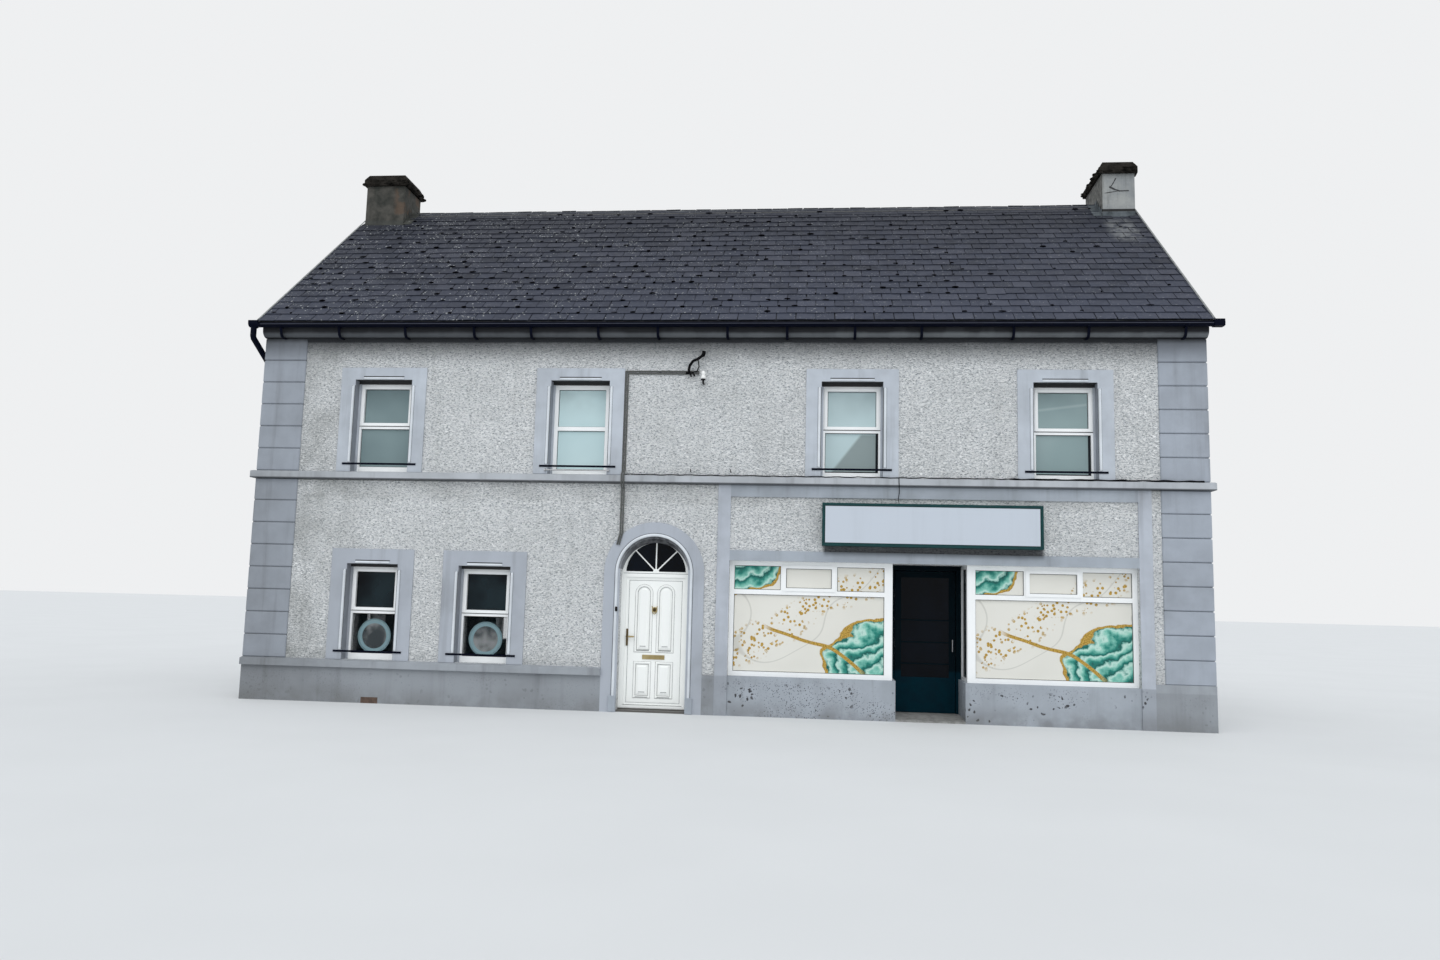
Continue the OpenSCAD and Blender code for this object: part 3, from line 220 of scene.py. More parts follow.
def grime(f, base, amount):
    """Base colour with rain streaks, soft blotches and fine specks of dirt."""
    streaks = f.noise(2.2, 4.0, 0.6, stretch=(2.4, 2.4, 0.16)).rise(0.5, 0.82)
    blotches = f.noise(0.9, 4.0, 0.6).rise(0.42, 0.85)
    specks = f.noise(55.0, 2.0).rise(0.66, 0.8)
    corner = worn_corner(f) * (f.z.rise(STRING_Z + 0.2, STRING_Z - 0.1) * 0.25 + 0.5)
    wear = (streaks * 0.35 + blotches * 0.35 + specks * 0.22 + corner) * amount
    return f.mix(wear.clip(), base, (0.13, 0.135, 0.14))


# Finishes


def roughcast():
    """Thrown lime render: worm-like lumps painted pale on top and dark in the hollows (painted highlight and shade),
    greyer with dirt towards the ground and with painted shade under ledges.
    """
    f = Finish("roughcast")
    lumps = f.noise(66.0, 3.0, 0.6, stretch=(0.45, 0.45, 1.15), distortion=1.0)
    grit = f.noise(150.0, 2.0, 0.6)
    relief = lumps.rise(0.34, 0.64) * 0.8 + grit * 0.2
    # Painted highlight on the tops of the lumps and painted shade in the hollows between them
    lump_shading = f.ramp(lumps, (0.37, (0.24, 0.26, 0.275)), (0.44, (0.78, 0.815, 0.84)), (0.53, (0.99, 1.0, 1.0)))
    patches = f.noise(1.1, 3.0, 0.6).rise(0.3, 0.75)
    base = f.mix(patches * 0.18, lump_shading, (0.5, 0.515, 0.5))
    # The band under the string course is painted shade; the corner, streak and foot dirt mixed with it is real
    under_string = f.z.band(3.08, 3.37, 0.06)
    foot = f.z.rise(0.95, 0.62)
    streaks = f.noise(2.6, 4.0, 0.65, stretch=(3.0, 3.0, 0.12)).rise(0.44, 0.75)
    dirt = (worn_corner(f) + streaks * 0.14 + under_string * 0.22 + foot * 0.22) * f.noise(1.7, 4.0).rise(0.25, 0.7)
    base = shaded(f, f.mix(dirt.clip(), base, (0.235, 0.245, 0.23)))
    return f.coat(base, 0.95, relief, 0.014, 1.0)


def plaster(name, base, amount=1.0, chips=0.0, damp=0.0, foot=None, edge=False):
    """Painted smooth plaster with brush marks and streaks, and low down with chipped paint and damp.

    foot is the tint and the top of its lower part; edge paints shade along its lower edge, as under a string course.
    """
    f = Finish(name)
    tone = f.noise(3.0, 3.0, 0.6).rise(0.3, 0.7)
    colour = f.mix(tone, tint(base, 0.94), tint(base, 1.06))
    if foot:
        lower, top = foot
        colour = f.mix(f.z.rise(top + 0.01, top - 0.01), colour, lower)
    colour = grime(f, colour, amount)
    relief = f.noise(14.0, 3.0, 0.5) * 0.7 + f.noise(150.0, 2.0) * 0.3
    if edge:
        # Painted shade along the lower edge
        line = f.z.rise(STRING_Z + 0.02, STRING_Z + 0.008) * f.noise(3.0, 3.0).rise(0.1, 0.4)
        colour = f.mix(line * 0.8, colour, SHADE_AND_SOOT)
    else:
        colour = shaded(f, colour, 0.8)
    if chips:
        ragged = f.shifted(0.1, 8.0)
        large = f.cells(11.0, ragged).rise(0.26, 0.2) * f.noise(1.9, 3.0).rise(0.5, 0.58)
        small = f.cells(38.0, ragged).rise(0.3, 0.22) * f.noise(1.5, 3.0).rise(0.45, 0.6)
        flecks = large.most(small) * f.z.rise(0.6, 0.38) * chips
        colour = f.mix(flecks.clip(), colour, (0.045, 0.045, 0.05))
        relief = relief - flecks * 0.5
    if damp:
        rising = f.z.rise(0.34, 0.02) * f.noise(2.0, 4.0, 0.6).rise(0.3, 0.6)
        colour = f.mix((rising * damp).clip(), colour, (0.135, 0.135, 0.13))
    return f.coat(colour, 0.78, relief, 0.004, 0.8)


def cornice():
    """Rounded eaves course, near black under the gutter with painted shade, soot and damp streaks, paler towards its
    foot, and a painted shadow line at its lower edge.
    """
    f = Finish("cornice_plaster")
    drips = f.noise(2.5, 3.0, stretch=(1.0, 1.0, 0.3)).rise(0.35, 0.7)
    # Painted shade under the gutter, with soot and damp streaks
    shade_and_soot = f.z.rise(EAVES_Z + 0.035, EAVES_Z + 0.095) + drips * 0.35 - 0.1
    # Painted shadow line along the lower edge
    shade_and_soot = shade_and_soot + f.z.rise(EAVES_Z + 0.012, EAVES_Z + 0.003)
    base = f.mix(f.x.rise(along(3.0), along(11.0)), (0.08, 0.087, 0.096), (0.14, 0.152, 0.162))
    colour = f.mix(shade_and_soot.clip(), base, (0.008, 0.009, 0.012))
    return f.coat(colour, 0.85, f.noise(20.0, 3.0), 0.004, 0.7)


def slate():
    """Riven slate: each piece its own shade, with lichen rings, pale drips and a split surface."""
    f, base = Finish("roof_slate", Specular_IOR_Level=0.25), (0.031, 0.036, 0.054)
    shade = f.node("ShaderNodeAttribute", {"attribute_type": "GEOMETRY", "attribute_name": "shade"}, output=2)
    tones = ((0.62, 0.62, 0.62), (1.0, 1.0, 1.0), (1.3, 1.22, 1.15), (1.7, 1.6, 1.45))
    tones = [tuple(b * k for b, k in zip(base, tone)) for tone in tones]
    colour = f.ramp(shade, *zip((0.0, 0.45, 0.8, 1.0), tones))
    cloud = f.noise(5.0, 4.0, 0.6).rise(0.3, 0.75)
    colour = f.mix(cloud * 0.45, colour, tint(base, 1.7))
    colour = f.mix(f.z.rise(7.4, 8.9) * 0.68, colour, tint(base, 0.5))
    colour = f.mix(f.z.rise(7.2, 5.9) * 0.4, colour, tint(base, 1.9))
    colour = f.mix(f.x.rise(2.0, -5.0) * 0.16, colour, tint(base, 0.3))
    weather_side = f.x.rise(4.5, -5.0) * 0.6 + 0.2
    ragged = f.shifted(0.05, 24.0)
    lichen = f.cells(13.0, ragged).rise(0.2, 0.12) * f.noise(3.1, 3.0).rise(0.46, 0.56)
    fine = f.cells(29.0, ragged).rise(0.24, 0.16) * f.noise(2.6, 3.0).rise(0.5, 0.6)
    colour = f.mix((lichen.most(fine * 0.8) * weather_side).clip(), colour, (0.56, 0.58, 0.57))
    lime = f.x.band(RIDGE_END - 0.02, RIDGE_END + 0.42, 0.1) * f.z.band(7.9, 8.5, 0.14) * f.y.rise(0.0, -0.1)
    colour = f.mix(lime * f.noise(7.0, 4.0, 0.65).rise(0.35, 0.6) * 0.5, colour, (0.26, 0.27, 0.27))
    moss = f.noise(8.0, 4.0, 0.65).rise(0.62, 0.76) * f.noise(0.8, 2.0).rise(0.5, 0.75) * 0.5
    colour = f.mix(moss, colour, (0.05, 0.052, 0.03))
    relief = f.noise(9.0, 5.0, 0.6) * 0.7 + f.noise(70.0, 2.0) * 0.3
    roughness = f.noise(12.0, 2.0).rise(0.2, 0.9) * 0.2 + 0.62
    return f.coat(colour, roughness, relief, 0.006, 0.9)


def old_brass():
    """Dulled brass; the lever's back plate at the left is nearly brown."""
    f = Finish("worn_brass", Metallic=1.0)
    tone = f.noise(7.0, 3.0, 0.6).rise(0.3, 0.75)
    colour = f.mix(tone, (0.36, 0.28, 0.13), (0.5, 0.41, 0.22))
    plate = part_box("house_door_furniture")[0].x + 0.04
    colour = f.mix(f.x.rise(plate + 0.003, plate - 0.003) * 0.85, colour, (0.07, 0.05, 0.03))
    return f.coat(colour, tone * 0.2 + 0.32, f.noise(40.0, 3.0), 0.001, 0.6)


def arch_cove():
    """Hollow plaster reveal of the doorway's arch, with painted shade that deepens to near black at its top."""
    f = Finish("arch_cove_shaded_plaster")
    # Painted shade, deepest at the top of the arch
    colour = f.mix(f.z.rise(2.1, 2.5), (0.22, 0.23, 0.25), (0.03, 0.032, 0.036))
    colour = f.mix(f.noise(12.0, 3.0).rise(0.35, 0.7) * 0.4, colour, (0.3, 0.31, 0.33))
    return f.coat(colour, 0.85, f.noise(20.0, 3.0), 0.003, 0.7)


# Cracks on the front face of the right shaft: ends as (x, z) and half width
STACK_CRACKS = (
    ((6.803, 9.355), (6.75, 9.255), 0.012),
    ((6.75, 9.255), (6.706, 9.19), 0.011),
    ((6.7, 9.193), (6.78, 9.15), 0.024),
    ((6.78, 9.15), (6.867, 9.119), 0.018),
    ((6.867, 9.119), (7.02, 9.123), 0.014),
    ((6.85, 9.12), (6.61, 9.082), 0.009),
)


def left_chimney(f):
    """1 at the left chimney, 0 at the right one."""
    return f.x.rise(0.5, -0.5)


def stroke(f, a, b):
    """Distance to the segment from a to b in the plane of the front."""
    across, up = b[0] - a[0], b[1] - a[1]
    dx, dz = f.x - a[0], f.z - a[1]
    t = ((dx * across + dz * up) * (1.0 / (across * across + up * up))).clip()
    dx, dz = dx - t * across, dz - t * up
    return dx.span(dz) + (f.noise(40.0, 2.0) - 0.5) * 0.01


def chimney_render():
    """Old grey render: the left shaft black with damp, bricks showing, the right one pale and cracked."""
    f = Finish("chimney_render")
    pale = f.mix(f.noise(2.5, 4.0, 0.6).rise(0.3, 0.7), (0.25, 0.265, 0.275), (0.36, 0.37, 0.36))
    dark = f.mix(f.noise(4.0, 4.0, 0.6).rise(0.3, 0.7), (0.024, 0.026, 0.022), (0.085, 0.08, 0.07))
    brick = f.noise(3.0, 3.0).rise(0.5, 0.62) * f.x.rise(-6.62, -6.5)
    dark = f.mix((brick * 0.55).clip(), dark, (0.12, 0.07, 0.042))
    pale = f.mix(f.z.rise(9.3, 9.44) * 0.35, pale, (0.12, 0.12, 0.11))
    # The left side face of the right shaft darker, in patches
    inner_side = f.x.band(RIDGE_END - 0.02, RIDGE_END + 0.016, 0.003)
    side_face_tone = f.mix(f.noise(9.0, 4.0, 0.65).rise(0.3, 0.65), (0.035, 0.036, 0.032), (0.17, 0.165, 0.15))
    pale = f.mix(inner_side * 0.9, pale, side_face_tone)
    colour = f.mix(left_chimney(f), pale, dark)
    streaks = f.noise(3.4, 4.0, 0.6, stretch=(3.0, 3.0, 0.3)).rise(0.5, 0.8)
    colour = f.mix((streaks * 0.55).clip(), colour, (0.06, 0.062, 0.055))
    right_face = f.y.rise(-0.42, -0.45) * f.x.rise(0.0, 0.1)
    cracks = 0.0
    for a, b, width in STACK_CRACKS:
        cracks = stroke(f, a, b).rise(width, width * 0.4).most(cracks)
    cracks = cracks * right_face
    colour = f.mix((cracks * 0.9).clip(), colour, (0.012, 0.012, 0.012))
    # Painted shadow in the gap between the render and the top of the lead
    shadow_over_lead = f.z.band(8.74, 8.788, 0.003) * right_face
    colour = f.mix(shadow_over_lead * 0.95, colour, (0.004, 0.004, 0.005))
    relief = f.noise(16.0, 4.0, 0.6) - cracks * 0.6
    return f.coat(colour, 0.92, relief, 0.012, 0.9)


def old_lead():
    """Lead sheet, blue-grey at the right chimney and nearly black at the damp left one."""
    f = Finish("old_lead")
    tone = f.noise(4.0, 5.0, 0.65).rise(0.3, 0.7)
    right = f.mix(tone, (0.025, 0.036, 0.043), (0.11, 0.13, 0.145))
    left = f.mix(tone, (0.018, 0.02, 0.018), (0.05, 0.053, 0.045))
    return f.coat(f.mix(left_chimney(f), right, left), 0.7, f.noise(12.0, 5.0, 0.6), 0.003, 0.9)


def weathered(name, light, dark, scale=6.0, depth=0.01, roughness=0.9, specular=0.5):
    """Plain mineral surface between two tones."""
    f = Finish(name, Specular_IOR_Level=specular)
    tone = f.noise(scale, 5.0, 0.65).rise(0.3, 0.7)
    colour = f.mix(tone, dark, light)
    specks = f.noise(scale * 12.0, 2.0).rise(0.62, 0.75)
    colour = f.mix(specks * 0.35, colour, tint(dark, 0.6))
    relief = f.noise(scale * 3.0, 5.0, 0.6)
    return f.coat(colour, roughness, relief, depth, 0.9)


def moulded_plastic(name, base, roughness=0.3, dirt=(0.33, 0.33, 0.3), amount=0.5):
    """Window and door plastic, greyed by rain in streaks and specks."""
    f = Finish(name)
    film = f.noise(2.0, 4.0, 0.6, stretch=(2.0, 2.0, 0.5)).rise(0.42, 0.8) * 0.3
    spots = f.noise(38.0, 3.0).rise(0.62, 0.78) * 0.3
    colour = f.mix(((film + spots) * amount).clip(), base, dirt)
    return f.coat(colour, f.noise(9.0, 2.0).rise(0.2, 0.8) * 0.15 + roughness, f.noise(60.0, 2.0), 0.0006, 0.5)


def painted_metal(name, base, roughness=0.4, rust=0.0, metallic=0.0, specular=0.5):
    """Painted metal with dull patches and, where asked, rust at the bare spots."""
    f = Finish(name, Metallic=metallic, Specular_IOR_Level=specular)
    tone = f.noise(7.0, 3.0, 0.6).rise(0.3, 0.75)
    colour = f.mix(tone * 0.5, base, tint(base, 1.6))
    if rust:
        bare = f.noise(16.0, 4.0, 0.65).rise(0.55, 0.7) * rust
        colour = f.mix(bare.clip(), colour, (0.12, 0.045, 0.02))
    return f.coat(colour, tone * 0.2 + roughness, f.noise(40.0, 3.0), 0.001, 0.6)


def shop_green():
    """Dark green door paint, lighter on the kick panel and nearly black above it."""
    f = Finish("green_paint", Specular_IOR_Level=0.06)
    tone = f.noise(7.0, 3.0, 0.6).rise(0.3, 0.75)
    low = f.mix(tone, (0.0, 0.015, 0.026), (0.0, 0.021, 0.034))
    high = f.mix(tone, (0.0, 0.005, 0.009), (0.001, 0.008, 0.012))
    colour = f.mix(f.z.rise(0.66, 0.7), low, high)
    return f.coat(colour, tone * 0.2 + 0.45, f.noise(40.0, 3.0), 0.001, 0.6)


def window_glass():
    """Window glass over a pale blind upstairs, each window its own brightness, and over dark rooms below, with painted
    reflection, highlight and shade on some panes.
    """
    f = Finish("window_pane", Specular_IOR_Level=0.12)
    colour = f.mix(f.noise(0.8, 2.0).rise(0.3, 0.7), (0.195, 0.265, 0.275), (0.26, 0.345, 0.355))
    for x, low, high in (
        (4.65, (0.53, 0.69, 0.71), (0.62, 0.785, 0.8)),
        (9.2, (0.29, 0.35, 0.35), (0.56, 0.7, 0.72)),
        (12.3, (0.28, 0.375, 0.38), (0.335, 0.43, 0.435)),
    ):
        # Painted reflection in the third window: its lower light bright to the upper left of a diagonal, darker to the
        # lower right
        lower_right = (f.x - along(x + 0.13) + (4.15 - f.z) * 0.77).rise(-0.03, 0.04) * f.z.rise(4.2, 4.15)
        slope = f.noise(0.9, 2.0).rise(0.3, 0.7)
        if x == 9.2:
            slope = (slope * 0.25 + 0.75) * (1 - lower_right)
        tone = f.mix(slope, low, high)
        colour = f.mix(f.x.band(along(x - 1.2), along(x + 1.2), 0.01), colour, tone)
    # Painted highlight: a pale diagonal band where a fold of the fourth window's blind catches the light
    fold = (f.z - 4.61 - (f.x - along(12.3)) * 0.13).abs().rise(0.035, 0.0) * f.x.rise(along(11.5), along(11.7))
    colour = f.mix(fold * 0.3, colour, (0.6, 0.7, 0.7))
    # Painted shade in the gap along the right and lower edges of the lower lights of the upper windows right of 8 m
    for lo, hi in islands("window_glass"):
        if hi.y < -FACE_Y and 3.0 < lo.z < 4.0 and lo.x > along(8.0):
            gap = f.x.rise(hi.x - 0.042, hi.x - 0.036).most(f.z.rise(lo.z + 0.024, lo.z + 0.018))
            gap = gap * f.x.band(lo.x, hi.x + 0.01, 0.004) * f.z.rise(hi.z + 0.01, hi.z) * f.y.rise(0.0, -0.1)
            colour = f.mix(gap, colour, (0.006, 0.01, 0.014))
    upper = f.z.rise(3.3, 3.45)
    # Painted shade on the blinds under the window heads
    head = f.z.rise(4.3, 4.85) * f.noise(2.0, 2.0).rise(0.2, 0.7)
    colour = f.mix(head * 0.3, colour, (0.1, 0.14, 0.15))
    room = f.mix(f.z.rise(0.8, 1.5) * f.noise(1.5, 2.0).rise(0.3, 0.7), (0.014, 0.026, 0.032), (0.001, 0.002, 0.004))
    colour = f.mix(upper, room, colour)
    f.set(Alpha=f.z.rise(GROUND_MID_Z - 0.02, GROUND_MID_Z + 0.02) * 0.83 + 0.12)
    return f.coat(colour, 0.06, f.noise(1.6, 2.0), 0.003, 0.3)


def dark_glass():
    """Glass in front of a dark room, painted near black and almost opaque: painted shade in place of the room."""
    f, base = Finish("room_dark_glass", Alpha=0.985, Specular_IOR_Level=0.09), (0.001, 0.002, 0.004)
    tone = f.noise(1.2, 3.0, 0.5, stretch=(1.6, 1.6, 0.6)).rise(0.35, 0.7)
    dust = f.noise(45.0, 3.0).rise(0.6, 0.8) * 0.02
    return f.coat(f.mix(dust, f.mix(tone, base, tint(base, 2.6)), (0.3, 0.3, 0.3)), 0.07)


def door_sills():
    """White plastic sill under the house door, worn concrete under the shop door."""
    f = Finish("door_sills")
    shop = f.x.rise(0.9, 1.1)
    wear = f.noise(14.0, 4.0, 0.6).rise(0.35, 0.75)
    white = f.mix(wear * 0.4, (0.74, 0.76, 0.75), (0.4, 0.4, 0.38))
    # Below the white nosing: concrete, darkened further with the painted shadow of the nosing
    white = f.mix(f.z.rise(0.052, 0.044) * f.z.rise(0.0, 0.005), white, (0.1, 0.096, 0.088))
    stone = f.mix(wear, (0.3, 0.3, 0.29), (0.17, 0.17, 0.16))
    return f.coat(f.mix(shop, white, stone), shop * 0.4 + 0.4, wear, 0.002, 0.6)


def printed_film():
    """Window film of a generic design, the same in both windows: cream ground, green strata at the lower
    corner with a gold rim, and gold confetti drifting upwards."""
    f = Finish("window_film", Specular_IOR_Level=0.3)
    across = (f.x - SHOP_PANE_X).wrap(SHOP_PANE_PITCH)
    f.place = f.node("ShaderNodeCombineXYZ", {}, {"X": across, "Y": 0.0, "Z": f.z})
    cream = f.mix(f.noise(0.7, 2.0).rise(0.3, 0.7), (0.76, 0.745, 0.68), (0.82, 0.805, 0.745))
    low_corner = (2.43 - across).span((f.z - 0.62) * 1.25)
    high_corner = across.span((2.3 - f.z) * 1.5) + 0.3
    distance = (low_corner.least(high_corner) + (f.noise(1.6, 3.0, 0.5) - 0.5) * 0.9) * 0.72
    wash = distance.rise(0.78, 0.74)
    strata = (distance * 7.0 + f.noise(5.0, 4.0, 0.6) * 1.6).wrap(1.0)
    green = f.ramp(
        strata,
        (0.0, (0.005, 0.075, 0.065)),
        (0.28, (0.02, 0.24, 0.19)),
        (0.55, (0.22, 0.56, 0.46)),
        (0.78, (0.55, 0.78, 0.69)),
        (1.0, (0.03, 0.27, 0.22)),
    )
    colour = f.mix(wash, cream, green)
    gold = f.mix(f.noise(60.0, 2.0).rise(0.35, 0.65), (0.30, 0.17, 0.02), (0.62, 0.40, 0.08))
    rim = distance.band(0.745, 0.79, 0.006)
    drift = (f.z - 0.9 - across * 0.55 + (f.noise(1.1, 2.0) - 0.5) * 0.7).abs()
    confetti = f.cells(17.0).rise(0.4, 0.33) * f.noise(5.0, 2.0).rise(0.4, 0.48) * drift.rise(0.3, 0.16)
    ribbon = (f.z - 1.55 + across * 0.42 + (f.noise(0.9, 1.0) - 0.5) * 0.5).abs().rise(0.034, 0.024)
    ribbon = ribbon * f.noise(9.0, 3.0).rise(0.3, 0.4) * across.band(0.5, 1.9, 0.1)
    colour = f.mix((rim + confetti + ribbon).clip(), colour, gold)
    hair = (f.noise(0.5, 1.0, 0.4) * 9.0).wrap(1.0).band(0.485, 0.515, 0.01) * (1 - wash) * 0.3
    colour = f.mix(hair.clip(), colour, (0.3, 0.29, 0.26))
    return f.coat(colour, 0.16)


def mirror_glass():
    """Round mirrors: a frosted band round a dim silvered disc, the disc painted with a patchy reflection."""
    f = Finish("round_mirror")
    left, right = (f.away(x, z) for x, z in mirror_centres)
    radius = left.least(right)
    ring = radius.band(0.192, 0.24, 0.003)
    edge = radius.rise(0.24, 0.244)
    # Painted reflection in the silvered disc
    disc = f.mix(f.noise(2.2, 3.0).rise(0.4, 0.62), (0.05, 0.06, 0.065), (0.42, 0.43, 0.43))
    colour = f.mix(ring, disc, (0.34, 0.53, 0.58))
    colour = f.mix(edge, colour, (0.24, 0.38, 0.42))
    return f.coat(colour, ring * 0.3 + 0.1)


def cloth_blind():
    """Roller blind cloth, finely woven, with soft upright creases, bumped and painted lighter and darker (painted light
    and shade).
    """
    f = Finish("blind_cloth")
    warp, weft = ((way * 900.0).wrap(1.0).band(0.2, 0.8, 0.1) * 0.5 for way in (f.x, f.z))
    folds = f.noise(3.0, 2.0, 0.4, stretch=(2.0, 2.0, 0.2))
    # The creases painted lighter and darker: painted light and shade
    colour = f.mix(folds, (0.6, 0.66, 0.63), (0.72, 0.77, 0.74))
    return f.coat(colour, 0.9, folds + (warp + weft) * 0.05, 0.004, 0.5)


def sign_panel():
    """Blank sign face: pale blue-grey acrylic with faint streaks."""
    f = Finish("sign_face")
    streaks = f.noise(2.0, 3.0, 0.6, stretch=(3.0, 1.0, 0.2)).rise(0.45, 0.8) * 0.22
    colour = f.mix(streaks.clip(), (0.56, 0.61, 0.68), (0.44, 0.48, 0.53))
    return f.coat(colour, 0.35, f.noise(1.2, 2.0), 0.003, 0.3)


def timber():
    """Plain sawn boards."""
    f = Finish("sawn_timber")
    grain = f.noise(4.0, 5.0, 0.6, stretch=(0.6, 9.0, 9.0))
    colour = f.mix(grain, (0.26, 0.17, 0.09), (0.45, 0.32, 0.19))
    return f.coat(colour, 0.75, grain, 0.002, 0.6)


# Mesh helpers


class Piece:
    """A mesh gathered from boxes, swept outlines and tubes, then made one object on a body."""

    def __init__(self):
        self.bm = bmesh.new()

    def box(self, low, high, bevel=0.0):
        """Box with chamfered edges between two opposite corners."""
        low, high = zip(*(sorted(ends) for ends in zip(low, high)))
        spots = {}
        for corner in itertools.product((0, 1), repeat=3):
            for axis in range(3):
                spot = [(low, high)[corner[i]][i] + (0 if i == axis else (bevel, -bevel)[corner[i]]) for i in range(3)]
                spots[corner, axis] = self.bm.verts.new(spot)
        for axis in range(3):
            a, b = (i for i in range(3) if i != axis)
            for end in (0, 1):
                ring = [corner_at(axis, end, u, v) for u, v in ((0, 0), (1, 0), (1, 1), (0, 1))]
                self.bm.faces.new([spots[corner, axis] for corner in ring])
            for u, v in itertools.product((0, 1), repeat=2):
                first, last = corner_at(axis, 0, u, v), corner_at(axis, 1, u, v)
                self.bm.faces.new((spots[first, a], spots[last, a], spots[last, b], spots[first, b]))
        for corner in itertools.product((0, 1), repeat=3):
            self.bm.faces.new([spots[corner, axis] for axis in range(3)])

    def sweep(self, outline, path, across=(0.0, 0.0, 1.0), loop=False):
        """Outline of (out, up) pairs carried along a path of points; up follows across."""
        points = [Vector(p) for p in path]
        count = len(points)
        rings = []
        for i, p in enumerate(points):
            ahead = points[(i + 1) % count] - p if loop or i < count - 1 else p - points[i - 1]
            behind = p - points[i - 1] if loop or i else ahead
            way = (ahead.normalized() + behind.normalized()).normalized()
            up = Vector(across)
            up = (up - way * up.dot(way)).normalized()
            side = way.cross(up).normalized()
            stretch = 1.0 / max(0.35, way.dot(ahead.normalized()))
            rings.append([p + side * a * stretch + up * b for a, b in outline])
        self.skin(rings, loop)

    def skin(self, rings, loop=False):
        """Faces between neighbouring rings of points, with a cap on each end unless looped."""
        rings = [[self.bm.verts.new(p) for p in ring] for ring in rings]
        n = len(rings[0])
        for a, b in zip(rings, rings[1:] + (rings[:1] if loop else [])):
            for k in range(n):
                self.bm.faces.new((a[k], a[(k + 1) % n], b[(k + 1) % n], b[k]))
        if not loop:
            self.bm.faces.new(rings[0])
            self.bm.faces.new(rings[-1][::-1])

    def tube(self, path, radius, sides=10):
        """Round bar along a path, closed at both ends; radius is one value or one for each point."""
        points = [Vector(p) for p in path]
        rings = []
        guide = Vector((0.13, 0.29, 0.95))
        for i, p in enumerate(points):
            way = (points[min(i + 1, len(points) - 1)] - points[max(i - 1, 0)]).normalized()
            side = way.cross(guide).normalized()
            guide = side.cross(way).normalized()
            rings.append(circle(p, side, guide, radius[i] if isinstance(radius, list) else radius, sides))
        self.skin(rings)

    def lathe(self, centre, axis, profile, sides=24):
        """Profile of (along, radius) pairs turned about an axis."""
        centre, axis = Vector(centre), Vector(axis).normalized()
        side = axis.orthogonal().normalized()
        self.skin([circle(centre + axis * a, side, axis.cross(side), r, sides) for a, r in profile])

    def finish(self, name, material, slot, body="building", smooth=False, replaces=()):
        bmesh.ops.remove_doubles(self.bm, verts=self.bm.verts, dist=1e-6)
        bmesh.ops.recalc_face_normals(self.bm, faces=self.bm.faces)
        mesh = bpy.data.meshes.new(name)
        self.bm.to_mesh(mesh)
        self.bm.free()
        for polygon in mesh.polygons:
            polygon.use_smooth = smooth
        place(bpy.data.objects.new(name, mesh), material, slot, body, replaces)


def corner_at(axis, end, u, v):
    """Corner of a box, 0 or 1 on each axis: at one end of an axis, with u and v on the other two."""
    others = iter((u, v))
    return tuple(end if i == axis else next(others) for i in range(3))


def circle(centre, side, other, radius, sides):
    """Points round a centre in the plane of two directions."""
    turns = [2 * math.pi * k / sides for k in range(sides)]
    return [centre + (side * math.cos(t) + other * math.sin(t)) * radius for t in turns]


def place(piece, material, slot, body="building", replaces=()):
    scene.collection.objects.link(piece)
    if material:
        piece.data.materials.append(material)
    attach(piece, body)
    if replaces:
        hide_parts(*replaces)


def islands(name):
    """Boxes (low, high) of the separate solids of a node, from left to right."""
    bm = bmesh.new()
    bm.from_mesh(nodes[name].data)
    bmesh.ops.remove_doubles(bm, verts=bm.verts, dist=1e-5)
    left = set(bm.verts)
    found = []
    while left:
        stack, spots = [left.pop()], []
        while stack:
            vert = stack.pop()
            spots.append(nodes[name].matrix_world @ vert.co)
            near = {edge.other_vert(vert) for edge in vert.link_edges} & left
            left -= near
            stack += near
        found.append(tuple(Vector(f(s[i] for s in spots) for i in range(3)) for f in (min, max)))
    bm.free()
    return sorted(found, key=lambda pair: (round(pair[0].y, 1), pair[0].x, pair[0].z))


def half_round(width, height, steps=8):
    """Outline of a half-round moulding: flat back on 0, height out."""
    turns = [math.pi * i / steps for i in range(steps + 1)]
    return [(math.cos(a) * width / 2, math.sin(a) * height) for a in turns]


def stopped_bead(piece, start, end, out, width):
    """Half-round bead with rounded stops between two points, standing out from the plaster."""
    start, end, out = Vector(start), Vector(end), Vector(out)
    way = (end - start).normalized()
    side = way.cross(out)
    length = (end - start).length
    steps = ((0.0, 0.35), (0.006, 0.72), (0.02, 1.0), (length - 0.02, 1.0), (length - 0.006, 0.72), (length, 0.35))
    shape = half_round(width, BEAD_OUT)
    piece.skin([[start + way * a + (side * u + out * v) * k for u, v in shape] for a, k in steps])


# Camera, light and floor


def photo_camera():
    """Camera of 26 mm on a 36 mm wide frame, at eye height in front of the house."""
    yaw, pitch, roll = -0.0982, 0.1161, 0.0248
    ahead = Vector((math.sin(yaw) * math.cos(pitch), math.cos(yaw) * math.cos(pitch), math.sin(pitch)))
    right = Vector((math.cos(yaw), -math.sin(yaw), 0.0))
    up = right.cross(ahead)
    level = math.cos(roll) * right + math.sin(roll) * up
    upright = -math.sin(roll) * right + math.cos(roll) * up
    turn = Matrix((level, upright, -ahead)).transposed()
    camera = bpy.data.cameras.new("street_camera")
    camera.sensor_width = 36.0
    camera.lens = 36.0 * 1040.0 / 1440.0
    camera.clip_end = 500.0
    holder = bpy.data.objects.new("street_camera", camera)
    holder.matrix_world = Matrix.Translation((along(8.779), FRONT - 15.339, 1.648)) @ turn.to_4x4()
    scene.collection.objects.link(holder)
    scene.camera = holder


